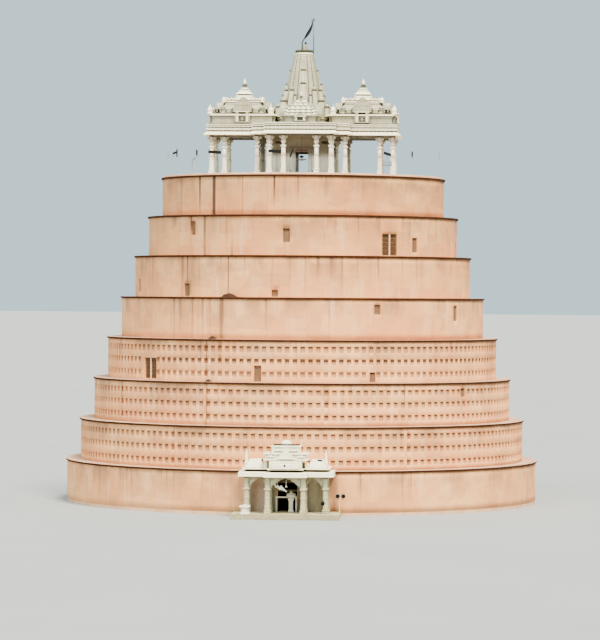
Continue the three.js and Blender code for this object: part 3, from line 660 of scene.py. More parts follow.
class TierWall:
    """One tier's ring wall, as cells between breaks of bearing and height."""

    def __init__(self, tier):
        self.shape = Shape()
        self.radius = wall_radius(tier)
        self.low = tier_floor(tier)
        self.high = TERRACE_TOPS[tier - 1] - TERRACE
        pitch, self.rows = NICHE_ROWS.get(tier, (0, ()))
        self.niches = round(math.tau * self.radius / pitch) if pitch else 0
        self.streaks = [row[1:] for row in STREAKS if row[0] == tier]
        self.washes = [row[1:] for row in WASHES if row[0] == tier]
        self.holes = []
        for storey, bearing, width, sill, height in WINDOWS:
            if storey == tier:
                half = math.degrees(width / 2 / self.radius)
                for turn in (0, 180):
                    self.holes.append((wrap(bearing + turn), half, sill, sill + height))
        if tier == 1:
            self.holes.append((0.0, math.degrees(DOOR_HALF / self.radius), self.low, DOOR_HEAD))
        self.bearings, self.heights = self.breaks()
        self.across, self.up = len(self.bearings), len(self.heights)
        cells = [(i, j) for i in range(self.across) for j in range(self.up - 1)]
        self.kinds = {cell: self.kind(*self.middle(*cell)) for cell in cells}

    def breaks(self):
        """The bearings and the heights where the wall is cut into cells."""
        bearings, heights = set(), {self.low, self.high}
        half = math.degrees(NICHE_WIDTH / 2 / self.radius)
        for i in range(self.niches):
            middle = 360 * (i + 0.5) / self.niches
            bearings.update((wrap(middle - half), wrap(middle + half)))
        if not self.niches:
            bearings.update(wrap(360 * i / EVEN_BEARINGS) for i in range(EVEN_BEARINGS))
        for bearing, half, low, high in self.holes:
            bearings.update((wrap(bearing - half), wrap(bearing + half)))
            heights.update((low, high))
        for bearing, width, _, _ in self.streaks:
            half = math.degrees(width / self.radius)
            core = half * STREAK_CORE
            bearings.update((bearing - half, bearing - core, bearing + core, bearing + half))
        for i in range(1, EVEN_HEIGHTS):
            z = self.low + (self.high - self.low) * i / EVEN_HEIGHTS
            if not any(low - NICHE_MARGIN < z < high + NICHE_MARGIN for low, high in self.rows):
                heights.add(z)
        for row in self.rows:
            heights.update(row)
        return spaced(bearings, LEAST_TURN), spaced(heights, LEAST_RISE)

    def kind(self, bearing, z):
        if self.in_hole(bearing, z):
            return "hole"
        return "niche" if self.in_niche(bearing, z) else "wall"

    def in_hole(self, bearing, z, margin=0.0):
        for middle, half, low, high in self.holes:
            near = abs(wrap(bearing - middle)) < half + math.degrees(margin / self.radius)
            if near and low - margin < z < high + margin:
                return True
        return False

    def in_niche(self, bearing, z):
        if not self.niches:
            return False
        turn = wrap(bearing) % 360 * self.niches / 360
        half = NICHE_WIDTH / 2 / (math.tau * self.radius / self.niches)
        if abs(turn % 1 - 0.5) > half:
            return False
        middle = (math.floor(turn) + 0.5) * 360 / self.niches
        for low, high in self.rows:
            if low < z < high:
                ends = (low + 0.02, high - 0.02)
                spots = [(middle + off, end) for off in (-half, 0, half) for end in ends]
                return not any(self.in_hole(*spot, NICHE_CLEARANCE) for spot in spots)
        return False

    def paint(self, rows, bearing, z, core=0.0):
        """How dark the marks in rows are at a point, each full within its core."""
        t = (z - self.low) / (self.high - self.low)
        darkest = 0.0
        for middle, width, top, foot in rows:
            half = math.degrees(width / self.radius)
            away = abs(wrap(bearing - middle)) / half
            fall = max(0.0, min(1.0, (1 - away) / (1 - core)))
            darkest = max(darkest, fall * (foot + (top - foot) * t))
        return darkest

    def middle(self, i, j):
        a, b = self.bearings[i], self.bearings[(i + 1) % self.across]
        return a + ((b - a) % 360) / 2, (self.heights[j] + self.heights[j + 1]) / 2

    def point(self, radius, i, z):
        angle = math.radians(self.bearings[i % self.across])
        return (radius * math.sin(angle), -radius * math.cos(angle), z)

    def outer(self, corner):
        return (corner[0] % self.across) * self.up + corner[1]

    def inner(self, corner):
        return self.across * self.up + self.outer(corner)

    def build(self):
        shape, top = self.shape, self.up - 1
        for i, bearing in enumerate(self.bearings):
            for z in self.heights:
                shape.mark("stain", self.paint(self.streaks, bearing, z, STREAK_CORE))
                shape.mark("wash", self.paint(self.washes, bearing, z))
                shape.mark("drop", self.high - z)
                shape.points.append(self.point(self.radius, i, z))
        for i in range(self.across):
            shape.points += [self.point(self.radius - WALL, i, z) for z in self.heights]
        for (i, j), kind in self.kinds.items():
            corners = ((i, j), (i + 1, j), (i + 1, j + 1), (i, j + 1))
            if kind == "hole":
                self.reveal(i, j, corners)
                continue
            shape.face([self.inner(corners[k]) for k in (1, 0, 3, 2)], True)
            rim = [self.outer(corner) for corner in corners]
            if kind == "wall":
                shape.face(rim, True)
            else:
                self.niche(rim, i, self.heights[j], self.heights[j + 1])
        for i in range(self.across):
            a, b, c, d = (i, 0), (i + 1, 0), (i, top), (i + 1, top)
            if self.kinds[i, 0] != "hole":
                shape.face((self.inner(a), self.inner(b), self.outer(b), self.outer(a)))
            if self.kinds[i, top - 1] != "hole":
                shape.face((self.outer(c), self.outer(d), self.inner(d), self.inner(c)))
        return shape

    def niche(self, rim, i, low, high):
        """A shallow niche whose back leans in, with painted shade that darkens its back towards a band under
        its head.
        """
        shape, shade = self.shape, high - NICHE_SHADE
        depths = (NICHE_DEPTH_SILL, NICHE_DEPTH_TOP * 0.8, NICHE_DEPTH_TOP * 0.85, NICHE_DEPTH_TOP)
        levels = []
        for depth, z, painted_niche_shade in zip(depths, (low, shade, shade + 0.02, high), NICHE_PAINTED_SHADE):
            level = []
            for column in (i, i + 1):
                level.append(len(shape.points))
                shape.mark("painted_niche_shade", painted_niche_shade)
                shape.mark("drop", self.high - z)
                shape.points.append(self.point(self.radius - depth, column, z))
            levels.append(level)
        for lower, upper in zip(levels, levels[1:]):
            shape.face((lower[0], lower[1], upper[1], upper[0]))
        shape.face((rim[0], rim[1], levels[0][1], levels[0][0]))
        shape.face((rim[2], rim[3], levels[-1][0], levels[-1][1]))
        shape.face((rim[1], rim[2], levels[3][1], levels[2][1], levels[1][1], levels[0][1]))
        shape.face((rim[3], rim[0], levels[0][0], levels[1][0], levels[2][0], levels[3][0]))

    def reveal(self, i, j, corners):
        """Closes the wall's thickness on each side of a hole's cell that meets the wall."""
        beyond = ((i, j - 1), (i + 1, j), (i, j + 1), (i - 1, j))
        for side, (column, row) in enumerate(beyond):
            if 0 <= row < self.up - 1 and self.kinds[column % self.across, row] != "hole":
                start, end = corners[side], corners[(side + 1) % 4]
                self.shape.face((self.outer(start), self.outer(end), self.inner(end), self.inner(start)))


def spaced(values, least):
    """Sorted values without any that crowd the one before."""
    kept = []
    for value in sorted(values):
        if not kept or value - kept[-1] > least:
            kept.append(value)
    return kept


def tower():
    for tier in range(1, TIERS + 1):
        sides = (f"tier_{tier}_front_wall", f"tier_{tier}_back_wall")
        TierWall(tier).build().made(f"tier_{tier}_wall", ROSE, *sides, slot="rose_stone")
        top, radius = TERRACE_TOPS[tier - 1], wall_radius(tier)
        terrace = Shape()
        terrace.lathe([
            (radius + LIP - 0.03, top - TERRACE), (radius + LIP, top - TERRACE + 0.03),
            (radius + LIP, top - 0.004), (radius + LIP - 0.004, top),
        ], ROUND_SIDES, smooth=False)
        terrace.made(f"terrace_{tier}_slab", COPING, f"terrace_{tier}", slot="terrace_stone")
    floor = Shape()
    floor.lathe([(BASE_RADIUS, 0), (BASE_RADIUS, FLOOR_TOP)], ROUND_SIDES, smooth=False)
    floor.made("ground_floor_slab", KERB_STONE, "ground_floor", slot="terrace_stone")


KERB_OUTER = wall_radius(TIERS) + LIP - 0.26
KERB_INNER = KERB_OUTER - 0.22
KERB_TOP = SUMMIT + 0.19


def kerb():
    shape = Shape()
    profile = [
        (KERB_OUTER, SUMMIT), (KERB_OUTER, KERB_TOP - 0.03), (KERB_OUTER - 0.03, KERB_TOP),
        (KERB_INNER + 0.03, KERB_TOP), (KERB_INNER, KERB_TOP - 0.03), (KERB_INNER, SUMMIT),
    ]
    count = len(profile)
    for i in range(ROUND_SIDES):
        angle = math.tau * i / ROUND_SIDES
        shape.points += [(r * math.sin(angle), -r * math.cos(angle), z) for r, z in profile]
        after = (i + 1) % ROUND_SIDES
        for j in range(count):
            k = (j + 1) % count
            shape.face((i * count + j, after * count + j, after * count + k, i * count + k))
    shape.made("summit_kerb", KERB_STONE, "kerb_front", "kerb_back", slot="rose_stone")


# Windows: louvres in the narrow ones, barred leaves with a pale mullion in the wide ones
def louvres(width, height):
    """A frame with slanted slats, its face at y = 0 and its foot at z = 0."""
    shape = Shape()
    edge, depth, pitch = 0.05, 0.08, 0.105
    half = width / 2
    shape.block(-half, -half + edge, 0, depth, 0, height)
    shape.block(half - edge, half, 0, depth, 0, height)
    shape.block(-half + edge, half - edge, 0, depth, 0, edge)
    shape.block(-half + edge, half - edge, 0, depth, height - edge, height)
    for i in range(int((height - 2 * edge) / pitch)):
        z = edge + pitch * (i + 0.25)
        section = [(0.0, z), (0.012, z - 0.014), (depth, z + 0.075), (depth - 0.012, z + 0.089)]
        shape.stack([[(x, y, h) for y, h in section] for x in (half - edge, -half + edge)])
    return shape


RAIL_PITCH, BARS, BAR_WIDTH = 0.41, 9, 0.045


def barred_leaves(width, height):
    """Two leaves of level rails over thin upright bars, their faces at y = 0."""
    shape = Shape()
    half, edge, depth = width / 2, 0.07, 0.07
    rails = round(height / RAIL_PITCH) + 1
    for side in (-1, 1):
        x0, x1 = sorted((side * 0.08, side * (half - 0.02)))
        for i in range(rails):
            z = (height - edge) * i / (rails - 1)
            shape.block(x0, x1, 0, depth, z, z + edge)
        for i in range(BARS):
            x = x0 + (x1 - x0 - BAR_WIDTH) * i / (BARS - 1)
            shape.block(x, x + BAR_WIDTH, 0.02, depth - 0.02, 0, height)
    return shape


def windows():
    slats, bars, mullions = Shape(), Shape(), Shape()
    for tier, bearing, width, sill, height in WINDOWS:
        face = -wall_radius(tier)
        for turn in (0, 180):
            placed, post = Shape(), Shape()
            if width > GRILLE_WIDTH:
                placed.merge(barred_leaves(width - 0.02, height - 0.02), at=(0, face + 0.16, sill + 0.01))
                post.block(-0.055, 0.055, face + 0.02, face + 0.14, sill, sill + height)
                bars.merge(placed, turn=bearing + turn)
                mullions.merge(post, turn=bearing + turn)
            else:
                placed.merge(louvres(width - 0.02, height - 0.02), at=(0, face + 0.14, sill + 0.01))
                slats.merge(placed, turn=bearing + turn)
    slats.made("window_louvres", SHUTTER, slot="rose_stone")
    bars.made("window_grilles", GRILLE, slot="rose_stone")
    mullions.made("window_mullions", MULLION, slot="rose_stone")


# Summit temple. Heights here are above the top of the highest wall.
PLINTH_TOP = 0.6
BEAM_BOTTOM = 4.36
EAVE_BOTTOM = 4.56
EAVE_TOP = 4.94
CORNICE_TOP = 5.7
ARM_END, ARM_SECOND, ARM_HALF, ARM_INNER = 9.28, 7.95, 3.14, 1.67
CROSS_X, CROSS_Y, PORTICO_END = 4.47, 4.95, 6.9
BEAM_HALF = 0.23
SANCTUM_HALF, SANCTUM_WALL, SANCTUM_DOOR, SANCTUM_HEAD = 3.1, 0.4, 0.65, 2.9
RAISED = (0, 0, TEMPLE_LEVEL)


def cross_plan():
    right = [
        (ARM_HALF, -PORTICO_END), (ARM_HALF, -CROSS_Y), (CROSS_X, -CROSS_Y), (CROSS_X, -ARM_HALF),
        (ARM_END, -ARM_HALF), (ARM_END, ARM_HALF), (CROSS_X, ARM_HALF), (CROSS_X, CROSS_Y),
        (ARM_HALF, CROSS_Y), (ARM_HALF, PORTICO_END),
    ]
    return right + [(-x, -y) for x, y in right]


CROSS = cross_plan()


def raised(shape):
    """The same shape lifted onto the summit terrace."""
    lifted = Shape()
    lifted.merge(shape, at=RAISED)
    return lifted


def temple_plinth():
    shape = Shape()
    shape.moulding(CROSS, [
        (1.0, TERRACE), (1.0, 0.29), (0.97, 0.32), (0.7, 0.32), (0.7, 0.43), (0.67, 0.46),
        (0.4, 0.46), (0.4, 0.5), (0.36, 0.53), (0.4, 0.56), (0.4, PLINTH_TOP),
    ])
    raised(shape).made("plinth_steps", MARBLE, "temple_plinth")


def temple_column():
    shape = Shape()
    shape.moulding(rectangle(0.28, 0.28), [
        (0, 0.6), (0, 0.72), (-0.03, 0.75), (-0.03, 0.86), (0, 0.89), (0, 0.95),
    ])
    shape.lathe([(0.24, 0.95), (0.28, 0.98), (0.28, 1.02), (0.24, 1.06)], 16)
    shape.lathe([(0.235, 1.06), (0.235, 2.1)], 8, smooth=False)
    shape.lathe([(0.22, 2.1), (0.26, 2.13), (0.26, 2.2), (0.215, 2.24)], 16)
    shape.lathe([(0.215, 2.24), (0.2, 3.2)], 16)
    shape.lathe([(0.19, 3.2), (0.24, 3.24), (0.29, 3.3), (0.29, 3.38), (0.24, 3.43), (0.15, 3.47)], 16)
    shape.lathe([(0.15, 3.47), (0.15, 3.62), (0.21, 3.68), (0.24, 3.74), (0.24, 3.79)], 16)
    shape.block(-0.25, 0.25, -0.25, 0.25, 3.79, 3.87)
    profile = [(0.15, 3.79), (0.19, 3.94), (0.25, 4.06), (0.33, 4.13), (0.42, 4.2), (0.42, BEAM_BOTTOM)]
    outline = profile + [(-x, z) for x, z in reversed(profile)]
    arms = Shape()
    arms.plate(outline, -0.13, 0.13)
    shape.around(arms, (0, 90))
    return shape


def beam(shape, x0, y0, x1, y1, z0=BEAM_BOTTOM, z1=EAVE_BOTTOM, half=BEAM_HALF):
    low_x, high_x, low_y, high_y = min(x0, x1), max(x0, x1), min(y0, y1), max(y0, y1)
    split = z0 + (z1 - z0) * 0.45
    for width, low, high in ((half * 0.84, z0, split), (half, split, z1)):
        shape.block(low_x - width, high_x + width, low_y - width, high_y + width, low, high)


def portico():
    """The columns and the beams that stand towards -Y."""
    shape, beams, column = Shape(), Shape(), temple_column()
    beam(beams, -ARM_HALF, -PORTICO_END, ARM_HALF, -PORTICO_END)
    spots = ((ARM_INNER, PORTICO_END), (ARM_HALF, PORTICO_END), (ARM_HALF, CROSS_Y), (CROSS_X, CROSS_Y))
    inner = 2 * BEAM_HALF
    for side in (-1, 1):
        for x, y in spots:
            shape.merge(column, at=(side * x, -y, 0))
        beam(beams, side * ARM_HALF, -PORTICO_END + inner, side * ARM_HALF, -CROSS_Y)
        beam(beams, side * (ARM_HALF + inner), -CROSS_Y, side * CROSS_X, -CROSS_Y)
        beam(beams, side * CROSS_X, -CROSS_Y + inner, side * CROSS_X, -ARM_HALF - inner)
        beam(beams, side * ARM_INNER, -PORTICO_END + inner, side * ARM_INNER, -SANCTUM_HALF - BEAM_HALF)
    return shape, beams


def arm():
    """The columns and the beams that stand towards -X, then its inner columns, kept apart for a darker
    marble that paints their shade.
    """
    shape, beams, inner_columns, column = Shape(), Shape(), Shape(), temple_column()
    inner = 2 * BEAM_HALF
    beam(beams, -ARM_END, -ARM_HALF, -ARM_END, ARM_HALF)
    for side in (-1, 1):
        for x, y in ((ARM_END, ARM_INNER), (ARM_END, ARM_HALF), (ARM_SECOND, ARM_HALF)):
            shape.merge(column, at=(-x, side * y, 0))
        inner_columns.merge(column, at=(-CROSS_X, side * ARM_HALF, 0))
        beam(beams, -ARM_END + inner, side * ARM_HALF, -CROSS_X, side * ARM_HALF)
        beam(beams, -ARM_END + inner, side * ARM_INNER, -SANCTUM_HALF - BEAM_HALF, side * ARM_INNER)
    return shape, beams, inner_columns


def temple_columns():
    for name, node, made, turn in (
        ("front_portico", "front_portico", portico, 0),
        ("back_portico", "back_portico", portico, 180),
        ("left_arm", "left_arm_columns", arm, 0),
        ("right_arm", "right_arm_columns", arm, 180),
    ):
        kinds = zip(("pillars", "beams", "inner_pillars"), made(), (MARBLE, BEAM_MARBLE, SHADED_COLUMN_MARBLE))
        for kind, shape, material in kinds:
            placed = Shape()
            placed.merge(shape, at=RAISED, turn=turn)
            placed.made(f"{name}_{kind}", material, node)


# Pilasters: distance from the middle, half width and how proud they stand
SANCTUM_PILASTERS = ((2.86, 0.2, 0.1), (1.75, 0.14, 0.06), (0.86, 0.1, 0.09), (1.12, 0.07, 0.05))
# Bands: how proud they stand, bottom and top
SANCTUM_BANDS = ((0.08, PLINTH_TOP, 0.85), (0.05, 0.85, 1.0), (0.07, 3.9, 4.05), (0.12, 4.05, 4.2))
WIDE_PILASTER = 0.12


def pilaster(side, x, half, proud):
    low, high = PLINTH_TOP, 3.9 if half > WIDE_PILASTER else SANCTUM_HEAD + 0.25
    side.moulding(rectangle(half, proud), [
        (0.03, low), (0.03, low + 0.2), (0, low + 0.25), (0, high - 0.3),
        (0.03, high - 0.25), (0, high - 0.2), (0, high - 0.12), (0.05, high - 0.04), (0.05, high),
    ], at=(x, -SANCTUM_HALF))


def sanctum_side(reach):
    """The wall towards -Y with its doorway, as far as reach from its middle."""
    side = Shape()
    inside = SANCTUM_HALF - SANCTUM_WALL
    for sign in (-1, 1):
        side.block(sign * SANCTUM_DOOR, sign * reach, -SANCTUM_HALF, -inside, PLINTH_TOP, EAVE_BOTTOM)
    side.block(-SANCTUM_DOOR, SANCTUM_DOOR, -SANCTUM_HALF, -inside, SANCTUM_HEAD, EAVE_BOTTOM)
    for sign in (-1, 1):
        for x, half, proud in SANCTUM_PILASTERS:
            pilaster(side, sign * x, half, proud)
    for proud, z0, z1 in SANCTUM_BANDS:
        edge = SANCTUM_DOOR + 0.02 if z0 < 1 else 0.0
        outside = SANCTUM_HALF + proud
        for sign in (-1, 1):
            side.block(sign * edge, sign * outside, -outside, -SANCTUM_HALF, z0, z1)
    return side


def sanctum():
    shape = Shape()
    inside = SANCTUM_HALF - SANCTUM_WALL
    for turn, reach in ((0, SANCTUM_HALF), (90, inside), (180, SANCTUM_HALF), (270, inside)):
        shape.merge(sanctum_side(reach), turn=turn)
    raised(shape).made("sanctum_carved_walls", SANCTUM_MARBLE, "sanctum_walls")


def sanctum_trim():
    """Red lintels over the doorways, and dark bars under the eaves as painted shade."""
    lintels, lintel, bars, bar = Shape(), Shape(), Shape(), Shape()
    face = -SANCTUM_HALF
    lintel.block(-1.3, 1.3, face - 0.16, face, SANCTUM_HEAD + 0.44, SANCTUM_HEAD + 0.5)
    lintel.block(-0.6, 0.6, face - 0.13, face, SANCTUM_HEAD + 0.12, SANCTUM_HEAD + 0.22)
    lintels.around(lintel)
    raised(lintels).made("sanctum_lintels", LINTEL_STONE)
    for sign in (-1, 1):
        bar.block(sign * 2.05, sign * 2.78, face - 0.14, face, 3.73, 3.95)
    bars.around(bar)
    raised(bars).made("sanctum_shade_bars", SHADE_DARK)


def hanging_lamp():
    """A black bowl lamp over a grey dish, on a chain before the sanctum's front doorway."""
    shape, dish = Shape(), Shape()
    at = (0, -3.75)
    shape.lathe([(0.012, 2.5), (0.012, BEAM_BOTTOM + 0.2)], 6, at)
    shape.lathe([
        (0.08, 2.26), (0.2, 2.3), (0.24, 2.36), (0.22, 2.42), (0.1, 2.46), (0.03, 2.52),
    ], 16, at)
    dish.lathe([
        (0.04, 1.96), (0.2, 1.99), (0.5, 2.08), (0.575, 2.13), (0.55, 2.14), (0.2, 2.06),
        (0.05, 2.05), (0.04, 2.27),
    ], 24, at)
    raised(shape).made("sanctum_hanging_lamp", LAMP_BLACK, slot="dark_metal")
    raised(dish).made("sanctum_lamp_dish", LAMP_GREY, slot="dark_metal")


def eaves_and_cornice():
    shape = Shape()
    rise = fitted(((0.74, 0), (0.8, 0.02), (0.8, 0.08), (0.77, 0.12), (0.58, 0.24)), 1, EAVE_BOTTOM, 1)
    shape.moulding(CROSS, rise + [(0.42, EAVE_TOP - 0.03), (0.4, EAVE_TOP)])
    raised(shape).made("chhajja_eaves", EAVE_MARBLE, "temple_eaves")
    band, groove = Shape(), Shape()
    for low, high in ((5.05, 5.28), (5.39, 5.51), (5.57, CORNICE_TOP)):
        band.moulding(CROSS, [(0.5, low), (0.52, low + 0.02), (0.52, high - 0.03), (0.49, high)])
    for low, high in ((EAVE_TOP, 5.06), (5.27, 5.4), (5.5, 5.58)):
        groove.moulding(CROSS, [(0.32, low), (0.32, high)])
    outline = grown(CROSS, 0.36)
    for i, (x0, y0) in enumerate(outline):
        x1, y1 = outline[(i + 1) % len(outline)]
        length = math.hypot(x1 - x0, y1 - y0)
        count = max(1, round(length / 0.42))
        for k in range(count):
            t = (k + 0.5) / count
            x, y = x0 + (x1 - x0) * t, y0 + (y1 - y0) * t
            band.block(x - 0.05, x + 0.05, y - 0.05, y + 0.05, 5.29, 5.38)
            band.block(x - 0.04, x + 0.04, y - 0.04, y + 0.04, EAVE_TOP, 5.05)
    raised(band).made("cornice_bands", CORNICE_MARBLE, "temple_cornice")
    # The grooves between the bands are painted dark as shade
    raised(groove).made("cornice_grooves", GAP_SHADE, "temple_cornice")


# Roofs
BELL = ((1, 0), (0.98, 0.12), (0.8, 0.45), (0.45, 0.72), (0.14, 0.84), (0.16, 0.92))
KUTA_BLOCK = ((0.06, 0), (0.06, 0.2), (-0.06, 0.28), (-0.06, 0.75), (0.06, 0.82), (0.06, 1))
CAP_LEVELS = 6
THIN_STOREY = 0.2
FINIAL_BUD = ((0.3, 0.35), (0.52, 0.46), (0.55, 0.58), (0.4, 0.72), (0.22, 0.84))


def bell(radius, height):
    shape = Shape()
    shape.lathe(fitted(BELL, radius, 0, height) + [(0.01, height)], 8)
    return shape


def kuta(half, height):
    """A small corner spire: moulded block, curved cap, ribbed disc and tip."""
    shape = Shape()
    low, top = height * 0.42, height * 0.78
    plan = stepped_square(half, half * 0.3)
    shape.moulding(plan, fitted(KUTA_BLOCK, half, 0, low))
    loops = []
    for i in range(CAP_LEVELS + 1):
        t = i / CAP_LEVELS
        size = (1 - t ** 1.6 * 0.62) * 0.9
        loops.append([(x * size, y * size, low + (top - low) * t) for x, y in plan])
    shape.stack(loops)
    disc = fitted(((0.3, 0), (0.46, 0.03), (0.3, 0.07)), half, top, height)
    shape.lathe(disc, 12, ribs=12, rib_depth=0.12)
    tip = fitted(((0.16, 0.07), (0.2, 0.12), (0.05, 0.16)), half, top, height)
    shape.lathe(tip + [(0.01, height)], 8)
    return shape


def storey(shape, half, low, high, inset=0.0):
    """A slab where it is thin, and otherwise a wall with base and top mouldings."""
    plan = stepped_square(half, min(0.28, half * 0.2))
    if high - low < THIN_STOREY:
        shape.moulding(plan, [(-0.02, low), (0, low + 0.01), (0, high - 0.02), (-0.02 - inset, high)])
        return
    base = min(0.12, (high - low) * 0.2)
    foot = inset * base / (high - low)
    shape.moulding(plan, [
        (0, low), (-foot, low + base), (-0.06 - foot, low + base * 1.2),
        (foot - inset - 0.06, high - base * 1.2), (foot - inset, high - base), (-inset, high),
    ])


def bells_along(shape, half, z, pitch, radius, height, skip=0.0):
    """Bells on the four edges of a slab, but none nearer the middle than skip."""
    count = max(2, round(2 * half / pitch))
    one = bell(radius, height)
    for i in range(count):
        run = -half + 2 * half * (i + 0.5) / count
        if abs(run) < skip:
            continue
        for turn in (0, 90, 180, 270):
            cos, sin = math.cos(math.radians(turn)), math.sin(math.radians(turn))
            x, y = run * cos + (half - radius) * sin, run * sin - (half - radius) * cos
            shape.merge(one, at=(x, y, z))


def gable_panel(foot, head, low, high, front, depth):
    """A carved plate with swelling shoulders, two raised frames and a round boss."""
    shape = Shape()
    rise = high - low
    left = [(foot + (head - foot) * t ** 1.8, t) for t in (0.0, 0.12, 0.28, 0.45, 0.62, 0.8, 0.92, 1.0)]
    outline = [(-x, low + rise * t) for x, t in left] + [(x, low + rise * t) for x, t in reversed(left)]
    shape.plate(outline, front + 0.08, front + depth)
    for size, proud in ((0.82, 0.04), (0.56, 0.0)):
        inner = [(x * size, low + 0.04 + (z - low) * size) for x, z in outline]
        shape.plate(inner, front + proud, front + 0.1)
    radius = min(head, rise * 0.3) * 0.6 + 0.04
    round_boss = fitted(((1, 0), (1, 0.05), (0.6, 0.09), (0.2, 0.1)), radius, 0, 1)
    shape.boss(round_boss, 14, 0, front + 0.1, low + rise * 0.45)
    return shape


def gable(face, half, sill, head, stages):
    """A gable that steps back from its face towards -Y, over a niche; and its pale trim."""
    shape, trim = Shape(), Shape()
    for low, high, foot, top, inset in stages:
        shape.merge(gable_panel(foot, top, low, high, face + inset, 1.4))
    back, opening = face + 0.88, half * 0.45
    shape.block(-half, -opening, face + 0.12, back, sill, head)
    shape.block(opening, half, face + 0.12, back, sill, head)
    shape.block(-opening, opening, face + 0.55, back, sill, head)
    trim.block(-half, half, face - 0.04, back, head - 0.07, head)
    shape.block(-half, half, face, back, sill, sill + 0.1)
    height = head - sill - 0.17
    for sign in (-1, 1):
        trim.lathe([
            (0.1, sill + 0.1), (0.1, sill + 0.16), (0.065, sill + 0.2), (0.065, sill + height - 0.02),
            (0.1, sill + height + 0.06), (0.1, sill + height + 0.1),
        ], 10, (sign * half * 0.66, face + 0.1))
    shape.lathe([
        (opening * 0.5, sill + 0.1), (opening * 0.55, sill + height * 0.35),
        (opening * 0.3, sill + height * 0.6), (0.02, sill + height * 0.85),
    ], 8, (0, face + 0.36))
    return shape, trim


def finial(low, high, radius):
    """A dark ribbed disc on a short neck, and the pale bud on it."""
    rise = high - low
    disc, bud = Shape(), Shape()
    bud.lathe(fitted(((0.6, 0), (0.6, 0.17)), radius, low, rise), 12)
    ribbed = fitted(((0.6, 0.15), (1, 0.19), (1, 0.3), (0.5, 0.36)), radius, low, rise)
    disc.lathe(ribbed, 32, ribs=16, rib_depth=0.1)
    bud.lathe(fitted(FINIAL_BUD, radius, low, rise) + [(0.012, high)], 14)
    return disc, bud


ARM_ROOF_X = 6.13
# Bottom, top, half width at the foot and at the head, and inset of each stage
ARM_GABLE = [(6.95, 7.55, 0.96, 0.9, 0.12), (7.55, 8.06, 0.88, 0.6, 0.75), (8.06, 8.56, 0.6, 0.05, 1.45)]
# Bottom, top, half width and inset of the dull storeys, and of the pale slabs and small roofs
ARM_STOREYS = [(5.78, 6.48, 3.4, 0), (6.95, 7.36, 2.66, 0.04), (7.44, 7.95, 2.44, 0.4)]
ARM_SLABS = [
    (6.56, 6.72, 3.58, 0), (6.85, 6.95, 2.74, 0), (8.03, 8.16, 2.0, 0), (8.26, 8.37, 1.74, 0),
    (8.37, 8.64, 1.2, 0.3), (8.64, 8.79, 0.88, 0), (8.94, 9.38, 0.87, 0.36), (9.46, 9.6, 0.38, 0),
]
# Bottom, top and half width of the gaps between them, painted dark as shade
ARM_GAPS = [
    (5.70, 5.79, 3.36), (6.47, 6.57, 3.34), (6.71, 6.86, 3.2), (7.35, 7.45, 2.5), (7.94, 8.04, 1.9),
    (8.15, 8.27, 1.6), (8.78, 8.95, 0.66), (9.37, 9.47, 0.34),
]
SPIRE_BASE_HALF = 2.85


def kiosk():
    """A small open shrine: a bell on a slab on four posts."""
    shape = Shape()
    for side in (-1, 1):
        shape.block(side * 0.17 - 0.05, side * 0.17 + 0.05, -0.2, -0.1, 0, 0.3)
        shape.block(side * 0.17 - 0.05, side * 0.17 + 0.05, 0.1, 0.2, 0, 0.3)
    shape.block(-0.26, 0.26, -0.24, 0.24, 0.3, 0.36)
    shape.merge(bell(0.22, 0.2), at=(0, 0, 0.36))
    return shape


def arm_roof():
    """The roof over a side arm: its dull stone, its pale stone, and its gaps and disc, painted dark as
    shade.
    """
    body, pale, gaps = Shape(), Shape(), Shape()
    for low, high, half, inset in ARM_STOREYS:
        storey(body, half, low, high, inset)
    for low, high, half in ARM_GAPS:
        gaps.moulding(rectangle(half, half), [(0, low), (0, high)])
    for side in (-1, 1):
        foot = Shape()
        foot.block(side * 0.95 - 0.16, side * 0.95 + 0.16, -3.3, -3.0, 7.08, 7.26)
        foot.block(side * 2.45 - 0.12, side * 2.45 + 0.12, -2.8, -2.6, 6.96, 7.24)
        gaps.around(foot)
    for low, high, half, inset in ARM_SLABS:
        storey(pale, half, low, high, inset)
    for side in (-1, 1):
        for x in (-3.3, 2.95):
            pale.merge(kuta(0.27, 1.02), at=(x, side * 3.3, 6.72))
        for x in (-1.98, 1.98):
            pale.merge(kuta(0.22, 0.62), at=(x, side * 1.98, 8.03))
    body.around(kiosk_pair())
    wing = Shape()
    wing.block(-1.6, 1.6, -3.1, -2.3, 6.72, 7.2)
    body.around(wing)
    ledges = Shape()
    for z, half in ((7.2, 1.72), (7.34, 1.66)):
        ledges.block(-half, half, -3.14, -2.3, z + 0.03, z + 0.1)
    pale.around(ledges)
    front, trim = gable(-3.68, 0.76, 5.85, 7.0, ARM_GABLE)
    body.around(front)
    pale.around(trim)
    bells_along(pale, 1.86, 8.37, 0.4, 0.09, 0.16, skip=0.5)
    disc, bud = finial(9.6, 10.6, 0.3)
    pale.merge(bud)
    gaps.merge(disc)
    return body, pale, gaps


def kiosk_pair():
    pair = Shape()
    for side in (-1, 1):
        pair.merge(kiosk(), at=(side * 2.45, -2.75, 6.95))
    return pair


PORTICO_ROOF_Y = 5.0
# The same columns as for the arm, and the cores behind the rows of bells
PORTICO_GABLE = [(6.35, 6.6, 0.42, 0.2, 0.06)]
PORTICO_STOREYS = [(5.70, 6.35, 1.9, 0), (6.35, 6.48, 2.1, 0)]
PORTICO_CORES = [(6.47, 6.8, 1.6), (6.8, 7.1, 1.5), (7.1, 7.5, 1.36), (7.5, 7.8, 1.1), (7.8, 8.2, 0.4)]
# Height of the foot and half width of each row of bells
PORTICO_BELLS = ((6.56, 1.72), (6.86, 1.66), (7.18, 1.56), (7.52, 1.3), (7.88, 0.6))
BELL_PITCH, BELL_RADIUS, BELL_HEIGHT = 0.56, 0.26, 0.19


